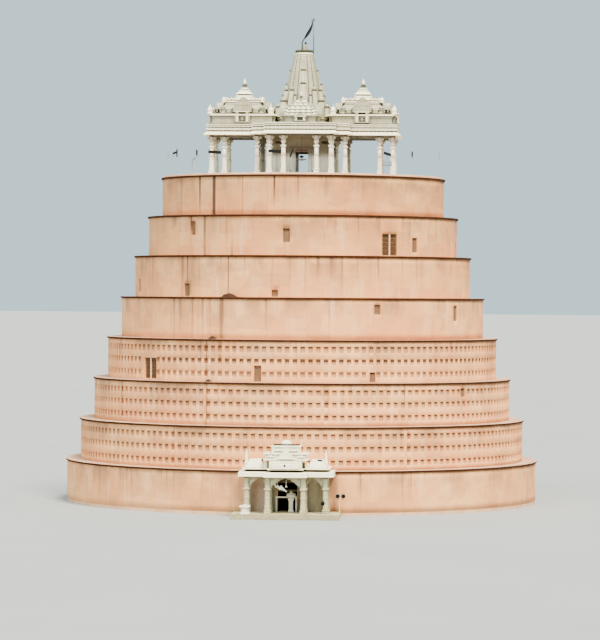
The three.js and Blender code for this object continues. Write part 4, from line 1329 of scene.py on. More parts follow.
def portico_roof():
    """The roof over a portico: its dull stone, its pale bells and bud, and its disc, painted dark as shade.
    """
    body, pale, dark = Shape(), Shape(), Shape()
    for low, high, half, inset in PORTICO_STOREYS:
        storey(body, half, low, high, inset)
    for low, high, half in PORTICO_CORES:
        body.moulding(rectangle(half, half), [(0, low), (0, high)])
    for side in (-1, 1):
        body.moulding(rectangle(0.4, 0.9), [
            (0.0, 6.48), (0.02, 6.6), (0.0, 6.9), (-0.05, 7.15), (-0.14, 7.38), (-0.28, 7.56),
        ], (side * 1.78, -0.6))
    for z, half in PORTICO_BELLS:
        storey(pale, half, z - 0.09, z)
        bells_along(pale, half, z, BELL_PITCH, BELL_RADIUS, BELL_HEIGHT)
    front, trim = gable(-2.25, 0.6, 5.8, 6.35, PORTICO_GABLE)
    body.merge(front)
    pale.merge(trim)
    disc, bud = finial(8.2, 8.95, 0.2)
    pale.merge(bud)
    dark.merge(disc)
    return body, pale, dark


def clear_of_spire(shape):
    """Moves points that reach into the spire's base back to its face."""
    limit = SPIRE_BASE_HALF
    for index, (x, y, z) in enumerate(shape.points):
        if abs(x) < limit and abs(y) < limit and z > CORNICE_TOP - 0.01:
            if abs(x) > abs(y):
                x = math.copysign(limit, x)
            else:
                y = math.copysign(limit, y)
            shape.points[index] = (x, y, z)
    return shape


def temple_roofs():
    for name, node, made, at, turn in (
        ("left_arm_roof", "left_arm_roof", arm_roof, (-ARM_ROOF_X, 0, 0), 0),
        ("right_arm_roof", "right_arm_roof", arm_roof, (ARM_ROOF_X, 0, 0), 180),
        ("front_roof", "front_portico_roof", portico_roof, (0, -PORTICO_ROOF_Y, 0), 0),
        ("back_roof", "back_portico_roof", portico_roof, (0, PORTICO_ROOF_Y, 0), 180),
    ):
        kinds = zip(("storeys", "slabs", "gaps"), made(), (ROOF_MARBLE, EAVE_MARBLE, GAP_SHADE))
        for kind, shape, material in kinds:
            placed = Shape()
            placed.merge(shape, at=at, turn=turn)
            raised(clear_of_spire(placed)).made(f"{name}_{kind}", material, node)


# Spire
SPIRE_FOOT = 6.5
SPIRE_TOP = 13.05
# The spire's plan: one side with its stepped faces, as shares of the half width
RATHA = turned_plan([
    (-0.80, -0.86), (-0.66, -0.86), (-0.66, -0.81), (-0.61, -0.81), (-0.61, -0.93), (-0.34, -0.93),
    (-0.34, -0.87), (-0.29, -0.87), (-0.29, -1.0), (0.29, -1.0), (0.29, -0.87), (0.34, -0.87),
    (0.34, -0.93), (0.61, -0.93), (0.61, -0.81), (0.66, -0.81), (0.66, -0.86), (0.80, -0.86), (0.80, -0.80),
])


def curved_tower(shape, foot, top, half_foot, half_top, bands, power=1.1, shift=None):
    """A spire of thin carved layers on a plan of stepped faces."""
    loops = []
    rise = (top - foot) / bands
    for band in range(bands):
        for part, inset in ((0.0, 0.0), (0.62, 0.0), (0.7, 0.007), (0.96, 0.007)):
            t = (band + part) / bands
            half = half_foot + (half_top - half_foot) * t ** power
            size = half * (1 - inset)
            dx, dy = shift(t) if shift else (0, 0)
            z = foot + rise * (band + part)
            loops.append([(dx + x * size, dy + y * size, z) for x, y in RATHA])
    shape.stack(loops)


class SpireParts:
    """The parts of a group of half-spires: their stone, their discs painted dark as shade, and their pale
    buds.
    """

    def __init__(self):
        self.stone, self.discs, self.buds = Shape(), Shape(), Shape()

    def around(self, other):
        self.stone.around(other.stone)
        self.discs.around(other.discs)
        self.buds.around(other.buds)

    def cap(self, z, radius, at):
        """A neck, a ribbed disc and a bud on the top of a half-spire."""
        self.stone.lathe(fitted(((0.7, -0.04), (0.7, 0.05)), radius, z, 1), 16, at)
        disc = fitted(((0.7, 0.04), (1, 0.07), (1, 0.15), (0.65, 0.18)), radius, z, 1)
        self.discs.lathe(disc, 28, at, ribs=14, rib_depth=0.1)
        bud = fitted(((0.6, 0.17), (0.66, 0.25), (0.4, 0.36)), radius, z, 1)
        self.buds.lathe(bud + [(0.01, z + 0.5)], 14, at)

    def half_spire(self, top, out, half, bands, cap, aside=(0.0, 0.0)):
        """A spire that leans on the large one; out, half and aside are pairs for foot and top."""

        def lean(t):
            return aside[0] + (aside[1] - aside[0]) * t, -(out[0] + (out[1] - out[0]) * t)

        curved_tower(self.stone, SPIRE_FOOT, top, half[0], half[1], bands, 1.2, lean)
        self.cap(top, cap, (aside[1], -out[1]))


def spire_base(shape):
    half = SPIRE_BASE_HALF
    plan = turned_plan([
        (-half + 0.45, -half + 0.25), (-1.6, -half + 0.25), (-1.6, -half), (1.6, -half),
        (1.6, -half + 0.25), (half - 0.45, -half + 0.25), (half - 0.45, -half + 0.45),
    ])
    shape.moulding(plan, [
        (0, CORNICE_TOP), (0, 5.82), (-0.06, 5.86), (-0.06, 6.0), (-0.12, 6.04), (-0.12, 6.22),
        (0, 6.3), (0, 6.38), (-0.08, SPIRE_FOOT),
    ])


def spire():
    body, parts, face, corner = Shape(), SpireParts(), SpireParts(), SpireParts()
    spire_base(body)
    curved_tower(body, SPIRE_FOOT, SPIRE_TOP, 2.28, 0.98, 22)
    face.half_spire(11.3, (1.56, 1.1), (0.8, 0.38), 14, 0.44)
    face.half_spire(9.9, (2.05, 1.58), (0.64, 0.34), 10, 0.36)
    for sign in (-1, 1):
        face.half_spire(9.2, (2.1, 1.72), (0.34, 0.24), 8, 0.27, (sign * 1.4, sign * 1.16))
        face.half_spire(8.65, (2.25, 2.1), (0.2, 0.13), 5, 0.16, (sign * 0.85, sign * 0.8))
        face.half_spire(7.3, (2.62, 2.6), (0.24, 0.2), 2, 0.24, (sign * 1.7, sign * 1.7))
    corner.half_spire(8.05, (2.0, 1.9), (0.42, 0.34), 5, 0.42, (-2.1, -2.0))
    corner.half_spire(7.4, (2.5, 2.5), (0.28, 0.24), 3, 0.3, (-2.5, -2.5))
    parts.around(face)
    parts.around(corner)
    raised(body).made("carved_spire", SPIRE_MARBLE, "spire")
    raised(parts.stone).made("carved_half_spires", HALF_SPIRE_MARBLE, "spire")
    raised(parts.discs).made("half_spire_discs", DISC_STONE, "spire")
    raised(parts.buds).made("half_spire_buds", MARBLE, "spire")


def crown():
    """The spire's collar, ribbed disc and pot, and the dark knob, rod and bar on top."""
    collar, disc, pot, metal = Shape(), Shape(), Shape(), Shape()
    profile = ((0.93, 0), (0.93, 0.1), (0.88, 0.16), (0.64, 0.2), (0.6, 0.25))
    collar.lathe(fitted(profile, 1, SPIRE_TOP, 1), 40)
    raised(collar).made("crown_collar", EAVE_MARBLE, "spire_crown")
    disc.lathe([
        (0.6, 13.24), (0.88, 13.26), (0.93, 13.32), (0.93, 13.46), (0.86, 13.52), (0.34, 13.55),
        (0.28, 13.58),
    ], 96, ribs=24, rib_depth=0.1)
    raised(disc).made("crown_ribbed_disc", CROWN_STONE, "spire_crown")
    pot.lathe([
        (0.26, 13.5), (0.3, 13.57), (0.24, 13.62), (0.26, 13.74), (0.25, 13.92), (0.17, 14.02),
        (0.16, 14.1), (0.06, 14.14),
    ], 20, (0.06, 0))
    raised(pot).made("crown_pot", POT_STONE, "spire_crown")
    metal.lathe([
        (0.03, 14.12), (0.11, 14.17), (0.13, 14.25), (0.1, 14.32), (0.03, 14.36), (0.012, 14.46),
    ], 14, (0.14, 0))
    metal.lathe([(0.1, 13.54), (0.07, 13.62), (0.06, 14.36), (0.02, 14.4)], 10, (-0.22, 0))
    slanted_bar(metal, (-0.22, 14.36), (-0.02, 14.68), 0.05)
    raised(metal).made("crown_rod_and_knob", DARK_METAL, slot="dark_metal")


def slanted_bar(shape, start, end, half):
    """A straight square bar between two points of x and z over the axis."""
    length = math.hypot(end[0] - start[0], end[1] - start[1])
    across = (half * (end[1] - start[1]) / length, -half * (end[0] - start[0]) / length)
    loops = []
    for x, z in (start, end):
        loops.append([
            (x - across[0], -half, z - across[1]), (x + across[0], -half, z + across[1]),
            (x + across[0], half, z + across[1]), (x - across[0], half, z - across[1]),
        ])
    shape.stack(loops)


# Flag pole and pennant
POLE_X = 0.96
POLE_TOP = 16.85
CROSS_BAR_Z = 16.56


def flag_pole():
    shape = Shape()
    at = (POLE_X, 0)
    shape.lathe([(0.045, SPIRE_TOP + 0.03), (0.045, 15.2), (0.03, 15.25), (0.03, POLE_TOP - 0.18)], 10, at)
    shape.lathe([
        (0.05, 16.64), (0.085, 16.7), (0.085, 16.79), (0.04, 16.83), (0.012, POLE_TOP),
    ], 12, at)
    shape.block(POLE_X - 0.25, POLE_X + 0.13, -0.045, 0.045, CROSS_BAR_Z, CROSS_BAR_Z + 0.07)
    for z in (13.3, 14.6):
        shape.lathe([(0.07, z), (0.07, z + 0.08)], 10, at)
    shape.block(POLE_X - 0.1, POLE_X + 0.05, -0.07, 0.07, SPIRE_TOP + 0.02, SPIRE_TOP + 0.14)
    raised(shape).made("flag_pole_and_bar", POLE_METAL, "flag_pole", slot="dark_metal")


# The pennant's middle line from the bar down, as x and z, and its width at each of these points
PENNANT = [
    (0.84, 16.55), (0.78, 16.1), (0.60, 15.66), (0.40, 15.3), (0.24, 15.04), (0.08, 14.8), (-0.04, 14.63),
]
PENNANT_WIDTH = [0.1, 0.2, 0.3, 0.32, 0.26, 0.18, 0.08]
SLOPE_ALONG, SLOPE_DOWN = 0.92, -0.39
PENNANT_ROWS, PENNANT_COLUMNS = 64, 25
FOLDS, FOLD_DEPTH, FOLD_DRIFT = 1.8, 0.38, 0.09
GATHERED_ROWS = 8


def pennant_row(row):
    """One row of points across the pennant."""
    t = row / (PENNANT_ROWS - 1) * (len(PENNANT) - 1)
    k = min(int(t), len(PENNANT) - 2)
    u = t - k
    ease = u * u * (3 - 2 * u)
    x = PENNANT[k][0] + (PENNANT[k + 1][0] - PENNANT[k][0]) * u
    z = PENNANT[k][1] + (PENNANT[k + 1][1] - PENNANT[k][1]) * u
    width = PENNANT_WIDTH[k] + (PENNANT_WIDTH[k + 1] - PENNANT_WIDTH[k]) * ease
    gathered = min(1.0, row / GATHERED_ROWS)
    points = []
    for column in range(PENNANT_COLUMNS):
        s = column / (PENNANT_COLUMNS - 1) - 0.5
        fold = FOLD_DEPTH * width * math.sin(s * math.tau * FOLDS + row * FOLD_DRIFT) * gathered
        spread = s * width
        y = fold + 0.02 * math.sin(row * 0.3)
        points.append((x + spread * SLOPE_ALONG, y, z + spread * SLOPE_DOWN))
    return points


def pennant():
    """A long pennant blown in folds that run along it, as one sheet."""
    rows, columns = PENNANT_ROWS, PENNANT_COLUMNS
    shape = Shape()
    for row in range(rows):
        shape.points += pennant_row(row)
    for row in range(rows - 1):
        for column in range(columns - 1):
            a = row * columns + column
            shape.face((a, a + columns, a + columns + 1, a + 1), True)
    piece = raised(shape).made("pennant", CLOTH, "flag", slot="flag_cloth")
    corners = [corner.co for corner in piece.data.vertices]
    length = width = 0.0
    for row in range(rows - 1):
        a = row * columns + columns // 2
        length += (corners[a + columns] - corners[a]).length
    for a in range(0, rows * columns, columns):
        across = [(corners[a + c + 1] - corners[a + c]).length for c in range(columns - 1)]
        width = max(width, sum(across))


# Floodlights on the summit terrace: bearing, distance from the axis, and kind
FLOODLIGHTS = [
    (-86.9, 14.0, "slim"), (-68.6, 13.9, "pair"), (-50.5, 13.9, "grey"), (-47.4, 13.9, "blade"),
    (-38.5, 13.4, "wide"), (-9.3, 13.3, "wide"), (-2.0, 13.3, "slant"), (42.2, 13.3, "rack"),
    (54.9, 13.9, "blade"), (90.0, 14.0, "slim"),
]
# Each kind's post: its height and its thickness
POSTS = {
    "slim": (2.2, 0.025), "blade": (2.1, 0.025), "slant": (1.9, 0.025), "pair": (2.2, 0.025),
    "grey": (1.5, 0.05), "wide": (2.3, 0.025), "rack": (2.2, 0.025),
}
# Each kind's housings: left, right, foot, top, slope to the right and depth
HOUSINGS = {
    "slim": ((-0.05, 0.06, 2.2, 2.9, 0.4, 0.05),),
    "blade": ((-0.07, 0.07, 2.1, 2.65, 0.9, 0.2),),
    "slant": (),
    "pair": ((-0.14, 0.24, 2.26, 2.5, -0.4, 0.14), (0.24, 0.36, 2.06, 2.86, 0.0, 0.12)),
    "grey": ((-0.02, 0.3, 1.5, 1.78, -0.3, 0.1),),
    "wide": ((-0.64, 0.64, 2.2, 2.52, 0.06, 0.16),),
    "rack": ((-0.36, 0.36, 2.2, 2.5, 0.3, 0.14),),
}
PALE_KINDS = ("slim", "grey")


def lamp_head(x0, x1, z0, z1, slope, deep):
    """A lamp's housing with a raked back, its right end lower by the slope."""
    head = Shape()
    loops = []
    for x in (x1, x0):
        fall = -(x - x0) * slope
        loops.append([
            (x, -deep, z0 + fall), (x, deep * 0.6, z0 + (z1 - z0) * 0.2 + fall),
            (x, deep, z1 + fall), (x, -deep * 0.8, z1 - (z1 - z0) * 0.08 + fall),
        ])
    head.stack(loops)
    return head


def floodlight(kind):
    """One floodlight on the terrace: its grey parts and its black parts."""
    post, head = Shape(), Shape()
    tall, thick = POSTS[kind]
    post.lathe([(0.12, 0), (0.12, 0.04), (thick + 0.01, 0.05), (thick, tall)], 8)
    for housing in HOUSINGS[kind]:
        (post if kind in PALE_KINDS else head).merge(lamp_head(*housing))
    if kind == "slant":
        slanted_bar(head, (-0.16, 1.74), (0.16, 2.56), 0.07)
    if kind == "rack":
        for side in (-1, 1):
            post.block(side * 0.06, side * 0.44, -0.1, 0.1, 1.1, 1.5)
        post.block(-0.44, 0.44, -0.03, 0.03, 1.04, 1.1)
        post.block(-0.32, 0.32, -0.12, 0.12, 0, 0.3)
    return post, head


def floodlights():
    dark, grey = Shape(), Shape()
    for bearing, reach, kind in FLOODLIGHTS:
        post, head = floodlight(kind)
        angle = math.radians(bearing)
        at = (reach * math.sin(angle), -reach * math.cos(angle), SUMMIT)
        grey.merge(post, at=at)
        dark.merge(head, at=at)
    dark.made("floodlight_heads", LAMP_BLACK, slot="dark_metal")
    grey.made("floodlight_posts", LAMP_GREY, slot="dark_metal")


# Entrance porch, in metres from the ground
PORCH_FLOOR = 0.45
PORCH_HALF = 5.1
PORCH_FRONT = 28.7
PORCH_STEPS, STEP_TREAD = 3, 0.36
PILLAR_HALF = 0.26
BAY_INNER, BAY_OUTER = 1.7, 3.76
BAY_FRONT, BAY_SIDE, PILASTER_Y = 27.8, 26.6, 24.5
RING_Z = 2.7
ARCH_SPRING, ARCH_RISE, ARCH_CUSPS, ARCH_BULGE, ARCH_LEAN = 2.88, 0.92, 7, 0.06, 0.35
PORCH_BEAM, PORCH_EAVE, PORCH_EAVE_TOP, PORCH_GROOVE_TOP, PORCH_CORNICE = 3.52, 3.92, 4.45, 4.6, 4.75


def porch_platform():
    shape = Shape()
    rear = BASE_RADIUS - 0.75
    for step in range(PORCH_STEPS):
        top = PORCH_FLOOR * (PORCH_STEPS - step) / PORCH_STEPS
        front = PORCH_FRONT + STEP_TREAD * step
        back = rear if step == 0 else front - STEP_TREAD + 0.001
        plan = [(-PORCH_HALF, -front), (PORCH_HALF, -front), (PORCH_HALF, -back), (-PORCH_HALF, -back)]
        shape.moulding(plan, [(0, 0), (0, top - 0.05), (-0.02, top - 0.03), (0, top - 0.02), (0, top)])
    shape.made("porch_steps", PORCH_MARBLE, "porch_platform")


def porch_pillar(shape, x, y):
    base, half = PORCH_FLOOR, PILLAR_HALF
    plan = stepped_square(half, half * 0.22)
    foot = ((0, 0), (0, 0.12), (-0.03, 0.15), (-0.03, 0.24), (0, 0.27), (-0.02, 0.35))
    shape.moulding(rectangle(half * 1.25, half * 1.25), fitted(foot, 1, base, 1), (x, -y))
    shaft = ((0, 0.35), (0, 0.8), (-0.025, 0.83), (-0.025, 1.4), (0, 1.43), (0, 1.5), (-0.025, 1.53))
    ring = ((-0.025, -0.05), (0, 0), (0.07, 0.02), (0.078, 0.06), (0.07, 0.12), (0, 0.15), (-0.02, 0.22))
    head = ((-0.02, -0.16), (0, -0.12), (0, 0))
    profile = fitted(shaft, 1, base, 1) + fitted(ring, 1, RING_Z, 1) + fitted(head, 1, PORCH_EAVE, 1)
    shape.moulding(plan, profile, (x, -y))


def arch_curve(x0, x1, lean):
    """Points of a pointed arch with cusps, from left to right; the lean moves its point aside."""
    middle, half = (x0 + x1) / 2, (x1 - x0) / 2 - PILLAR_HALF
    points = []
    for step in range(ARCH_CUSPS * CUSP_STEPS + 1):
        u = 2 * step / (ARCH_CUSPS * CUSP_STEPS) - 1
        away = (u - lean) / (1 - lean) if u > lean else (lean - u) / (1 + lean)
        bulge = ARCH_BULGE * math.sin(math.pi * (step % CUSP_STEPS) / CUSP_STEPS)
        points.append((middle + half * u, ARCH_SPRING + ARCH_RISE * (1 - away ** 1.5) + bulge))
    return points


def arch_plate(shape, x0, x1, y, lean=0.0):
    """A cusped arch between two pillars, with a raised band along its curve."""
    curve = arch_curve(x0, x1, lean)
    for (ax, az), (bx, bz) in zip(curve, curve[1:]):
        az, bz = min(az, PORCH_EAVE - 0.02), min(bz, PORCH_EAVE - 0.02)
        shape.stack([
            [(ax, y_now, az), (bx, y_now, bz), (bx, y_now, PORCH_EAVE), (ax, y_now, PORCH_EAVE)]
            for y_now in (-y + 0.1, -y - 0.1)
        ])
        tops = [min(z + 0.09, PORCH_EAVE - 0.01) for z in (az, bz)]
        shape.stack([
            [(ax, y_now, az), (bx, y_now, bz), (bx, y_now, tops[1]), (ax, y_now, tops[0])]
            for y_now in (-y + 0.13, -y - 0.13)
        ])
    for side in (-1, 1):
        middle = (x0 + x1) / 2
        x = middle + side * ((x1 - x0) / 2 - PILLAR_HALF - 0.22)
        shape.boss([(0.1, 0.0), (0.1, 0.03), (0.05, 0.05)], 14, x, -y - 0.08, PORCH_EAVE - 0.26)


def porch_beam(shape, x0, x1, y0, y1):
    beam(shape, x0, -y0, x1, -y1, PORCH_BEAM, PORCH_EAVE, PILLAR_HALF)


def porch_arcades():
    front = Shape()
    for side in (-1, 1):
        porch_pillar(front, side * BAY_INNER, BAY_FRONT)
    arch_plate(front, -BAY_INNER, BAY_INNER, BAY_FRONT)
    front.made("porch_front_arch_carved", PORCH_MARBLE, "porch_front_arch")
    for side, word in ((-1, "left"), (1, "right")):
        shape = Shape()
        for x in (BAY_OUTER, BAY_INNER):
            porch_pillar(shape, side * x, BAY_SIDE)
            porch_pillar(shape, side * x, PILASTER_Y)
        low, high = sorted((side * BAY_INNER, side * BAY_OUTER))
        arch_plate(shape, low, high, BAY_SIDE, -side * ARCH_LEAN)
        porch_beam(shape, side * BAY_OUTER, side * BAY_OUTER, BAY_SIDE, PILASTER_Y)
        porch_beam(shape, side * BAY_INNER, side * BAY_INNER, BAY_FRONT - 2 * PILLAR_HALF, PILASTER_Y)
        shape.made(f"porch_{word}_arcade_carved", PORCH_MARBLE, f"porch_{word}_arcade")


def porch_plan():
    rear = wall_radius(2) - 0.2
    return [
        (-BAY_OUTER, -BAY_SIDE), (-BAY_INNER + 0.4, -BAY_SIDE), (-BAY_INNER + 0.4, -BAY_FRONT),
        (BAY_INNER - 0.4, -BAY_FRONT), (BAY_INNER - 0.4, -BAY_SIDE), (BAY_OUTER, -BAY_SIDE),
        (BAY_OUTER, -rear), (-BAY_OUTER, -rear),
    ]


def porch_lining():
    """Slabs that face the tower's wall between the doorway and the outer pillars."""
    shape = Shape()
    back, front, slabs = BASE_RADIUS + 0.004, BASE_RADIUS + 0.06, 3
    for x0, x1 in ((-3.95, -1.08), (1.08, 3.95)):
        for i in range(slabs):
            left, right = x0 + (x1 - x0) * i / slabs, x0 + (x1 - x0) * (i + 1) / slabs
            corners = ((left, front), (right, front), (right, back), (left, back))
            plan = [(x, -math.sqrt(radius * radius - x * x)) for x, radius in corners]
            shape.moulding(plan, [
                (0, PORCH_FLOOR), (0, 0.8), (-0.01, 0.82), (-0.01, 3.3), (0, 3.32), (0, PORCH_EAVE),
            ])
    shape.made("porch_wall_lining", PORCH_LINING)
    # A dark band over the doorway, up to the eaves, painted as shade
    over = Shape()
    arc = [math.radians(2.56 * (i / 4 - 1)) for i in range(9)]
    plan = [(front * math.sin(a), -front * math.cos(a)) for a in arc]
    plan += [(back * math.sin(a), -back * math.cos(a)) for a in reversed(arc)]
    over.moulding(plan, [(0, DOOR_HEAD + 0.01), (0, PORCH_EAVE)])
    over.made("porch_lintel_shade", DOORWAY_SHADE_STONE)


def pinnacle(shape, x, y, z, height):
    """A slender tapering pinnacle on a square foot."""
    profile = (
        (0, 0), (0, 0.12), (-0.03, 0.14), (-0.03, 0.3), (-0.01, 0.32), (-0.06, 0.36), (-0.09, 0.6),
        (-0.15, 0.88), (-0.19, 1),
    )
    shape.moulding(rectangle(0.2, 0.2), fitted(profile, 1, z, height), (x, y))


# Each tier of the porch's upper roof: half width, half depth and profile
PORCH_TIERS = (
    (2.13, 1.45, ((-0.08, 5.49), (0, 5.52), (0, 5.58), (-0.1, 5.62))),
    (1.98, 1.33, ((0, 5.6), (0, 5.72), (-0.03, 5.75), (-0.03, 6.0), (0, 6.03), (0, 6.08))),
    (2.13, 1.45, ((-0.1, 6.06), (0, 6.1), (0, 6.16), (-0.06, 6.2))),
    (1.36, 1.05, ((0, 6.19), (0, 6.3), (-0.03, 6.33), (-0.03, 6.68), (0, 6.72), (0, 6.78))),
    (1.42, 1.12, ((-0.06, 6.76), (0, 6.79), (0, 6.86), (-0.05, 6.9))),
)


def porch_roof():
    plan = porch_plan()
    eaves, gaps, dark, lower = Shape(), Shape(), Shape(), Shape()
    eaves.moulding(plan, [
        *fitted(((0.74, 0), (0.79, 0.03), (0.8, 0.08), (0.77, 0.12)), 1, PORCH_EAVE, 1),
        (0.76, 4.31), (0.72, 4.37), (0.6, 4.39), (0.12, 4.4), (0.12, PORCH_EAVE_TOP),
    ])
    eaves.made("porch_upright_eaves", EAVE_MARBLE, "porch_eaves")
    # A dark strip painted as shade under the porch's cornice
    dark.moulding(plan, [(0.15, 4.39), (0.15, PORCH_GROOVE_TOP + 0.03)])
    lower.moulding(plan, [
        (0.37, PORCH_GROOVE_TOP + 0.02), (0.42, PORCH_GROOVE_TOP + 0.04),
        (0.42, PORCH_CORNICE - 0.04), (0.38, PORCH_CORNICE),
    ])
    for side in (-1, 1):
        lower.moulding(rectangle(0.89, 1.0), [
            (0.0, PORCH_CORNICE), (0.0, 4.84), (-0.04, 4.87), (-0.12, 5.1), (-0.29, 5.43),
            (-0.31, 5.52), (-0.37, 5.57),
        ], (side * 2.96, -25.9))
        pinnacle(lower, side * 3.78, -26.4, PORCH_CORNICE, 1.78)
        lower.merge(kuta(0.2, 0.72), at=(side * 1.99, -26.78, PORCH_CORNICE))
        gaps.block(side * 1.54, side * 1.78, -26.9, -26.4, PORCH_CORNICE, 5.3)
    lower.moulding(rectangle(1.54, 1.9), [
        (0.0, PORCH_CORNICE), (0.0, 5.38), (-0.03, 5.42), (0.0, 5.45), (0.0, 5.49),
    ], (0, -26.3))
    lower.moulding(rectangle(1.3, 2.45), [(0.0, PORCH_CORNICE), (0.0, 5.14), (-0.06, 5.2)], (0, -26.05))
    dark.boss([(0.09, 0.0), (0.11, 0.02), (0.08, 0.05)], 14, -0.05, -28.49, 5.06)
    lower.made("porch_roof_base", EAVE_MARBLE, "porch_roof_lower")
    upper, at = Shape(), (0, -26.2)
    for half_x, half_y, profile in PORCH_TIERS:
        upper.moulding(rectangle(half_x, half_y), profile, at)
    dark.moulding(rectangle(1.24, 1.0), [(0, 6.89), (0, 6.97)], at)
    upper.lathe([(0.52, 6.95), (0.54, 7.02), (0.53, 7.12), (0.44, 7.24), (0.28, 7.34), (0.08, 7.4)], 32, at)
    upper.merge(gable_panel(0.84, 0.24, 5.6, 6.3, -27.78, 0.4))
    for side in (-1, 1):
        eyebrow = cusped_curve(-0.4, 0.4, 6.38, 0.2, 3, 0.03)
        brow = Shape()
        brow.plate(eyebrow, -27.32, -27.2)
        upper.merge(brow, at=(side * 0.72, 0, 0))
        brow = Shape()
        brow.plate([(x, z - 0.58) for x, z in eyebrow], -27.6, -27.48)
        upper.merge(brow, at=(side * 1.45, 0, 0))
        gaps.block(side * 1.45 - 0.36, side * 1.45 + 0.36, -27.57, -27.48, 5.76, 5.8)
        gaps.block(side * 0.72 - 0.36, side * 0.72 + 0.36, -27.3, -27.2, 6.34, 6.38)
    upper.made("porch_roof_tiers", EAVE_MARBLE, "porch_roof_upper")
    # The gaps, the dark lines and the small dark boss are painted shade
    gaps.made("porch_roof_gaps", GAP_SHADE)
    dark.made("porch_roof_shade_lines", SHADE_DARK)


DOOR_EDGE = 0.11


def door_frame():
    """Jambs of the tower's doorway, and its head and transom in a dark stone painted as shade."""
    shape, rail = Shape(), Shape()
    outer = DOOR_HALF - 0.005
    inner = outer - DOOR_EDGE
    front, back = BASE_RADIUS + 0.09, BASE_RADIUS - 0.42
    for side in (-1, 1):
        shape.block(side * outer, side * inner, -front, -back, PORCH_FLOOR, DOOR_HEAD)
        x0, x1 = side * (outer - 0.03), side * (inner + 0.03)
        shape.block(x0, x1, -front - 0.03, -front, PORCH_FLOOR, DOOR_HEAD)
    rail.block(-inner, inner, -front, -back, DOOR_HEAD - DOOR_EDGE, DOOR_HEAD)
    rail.block(-inner, inner, -front + 0.08, -back, 2.35, 2.55)
    shape.made("carved_door_frame", PORCH_MARBLE, "door_frame")
    rail.made("door_head_and_transom", DOORWAY_SHADE_STONE, "door_frame")


def porch_stones():
    """A short column with a crested top and a cross rail before the doorway, and a low pedestal."""
    shape = Shape()
    at = (0.39, -25.1)
    shape.moulding(rectangle(0.21, 0.21), [
        (0.04, 0.45), (0.04, 0.6), (0, 0.64), (-0.02, 0.7), (-0.02, 1.5), (0, 1.56), (0.05, 1.62),
        (0.05, 1.8),
    ], at)
    shape.lathe([(0.24, 1.8), (0.36, 1.88), (0.44, 1.98), (0.44, 2.08), (0.3, 2.12)], 24, at)
    shape.lathe([(0.2, 2.1), (0.22, 2.22), (0.12, 2.3), (0.14, 2.36), (0.03, 2.44), (0.01, 2.52)], 16, at)
    crest = bell(0.09, 0.2)
    for turn in range(0, 360, 45):
        angle = math.radians(turn)
        shape.merge(crest, at=(at[0] + 0.33 * math.cos(angle), at[1] + 0.33 * math.sin(angle), 2.07))
    shape.block(-1.07, 0.93, -25.15, -25.05, 1.82, 1.94)
    for x in (-1.02, 0.88):
        shape.block(x - 0.04, x + 0.04, -25.14, -25.06, 0.45, 1.82)
    stand = (-3.8, -28.2)
    shape.moulding(stepped_square(0.48, 0.1), [
        (0, 0.45), (0, 0.57), (-0.1, 0.62), (-0.12, 1.0), (-0.04, 1.08), (0.03, 1.14),
        (0.03, 1.22), (-0.06, 1.26),
    ], stand)
    shape.lathe([(0.2, 1.26), (0.24, 1.3), (0.1, 1.36), (0.02, 1.39)], 14, stand)
    shape.made("porch_column_and_pedestal", MARBLE)


# The scroll's middle line as x, z and half width, and its bosses as x, z and radius
SCROLL = (
    (-1.1, 3.3, 0.04), (-0.95, 3.14, 0.06), (-0.78, 2.98, 0.05), (-0.62, 2.86, 0.06), (-0.4, 2.78, 0.06),
    (-0.2, 2.74, 0.05), (0.0, 2.66, 0.04), (0.12, 2.54, 0.03),
)
SCROLL_BOSSES = (
    (-1.04, 3.3, 0.1), (-0.9, 3.04, 0.09), (-0.7, 3.06, 0.1), (-0.52, 2.88, 0.15),
    (-0.3, 2.86, 0.14), (-0.4, 3.06, 0.1), (-0.1, 2.72, 0.1),
)


def porch_scroll():
    """A carved scroll and a small bell that hang under the middle arch."""
    shape = Shape()
    upper, lower = [], []
    for i, (x, z, half) in enumerate(SCROLL):
        before, after = SCROLL[max(0, i - 1)], SCROLL[min(len(SCROLL) - 1, i + 1)]
        length = math.hypot(after[0] - before[0], after[1] - before[1])
        across = (-(after[1] - before[1]) / length, (after[0] - before[0]) / length)
        upper.append((x + across[0] * half, z + across[1] * half))
        lower.append((x - across[0] * half, z - across[1] * half))
    shape.plate(lower + upper[::-1], -27.72, -27.56)
    for x, z, radius in SCROLL_BOSSES:
        profile = fitted(((1, -0.06), (1, 0.06), (0.7, 0.09), (0.3, 0.1)), radius, 0, 1)
        shape.boss(profile, 16, x, -27.69, z)
    shape.lathe([(0.02, 3.14), (0.02, PORCH_EAVE)], 6, (0.07, -27.64))
    shape.lathe([(0.11, 2.98), (0.1, 3.04), (0.06, 3.14), (0.02, 3.18)], 12, (0.07, -27.64))
    shape.made("porch_scroll_and_bell", MARBLE)


def porch_lamps():
    """A pale post with two dark lamps, a round lamp on a pillar and two lamps on the roof."""
    post, head = Shape(), Shape()
    at = (5.0, -24.5)
    post.lathe([(0.12, 0.45), (0.12, 0.5), (0.05, 0.54), (0.05, 1.7)], 12, at)
    post.block(at[0] - 0.26, at[0] + 0.42, at[1] - 0.04, at[1] + 0.04, 1.66, 1.74)
    for off in (-0.18, 0.36):
        x = at[0] + off
        head.boss([(0.16, -0.1), (0.2, 0.0), (0.2, 0.1), (0.16, 0.14)], 16, x, at[1] - 0.05, 1.98)
        post.boss([(0.22, -0.06), (0.23, -0.02)], 16, x, at[1] + 0.07, 2.01)
    head.lathe([(0.04, 1.24), (0.15, 1.3), (0.19, 1.44), (0.15, 1.58), (0.05, 1.66)], 16, (3.52, -27.02))
    for x0, x1, drop in ((-2.36, -2.2, 5.34), (2.98, 3.4, 5.2)):
        head.block(x0, x1, -26.66, -26.52, 5.46, 5.58)
        head.block(x1 - 0.09, x1, -26.64, -26.54, drop, 5.47)
    post.made("porch_lamp_post", PORCH_MARBLE)
    head.made("porch_lamp_heads", LAMP_BLACK, slot="dark_metal")


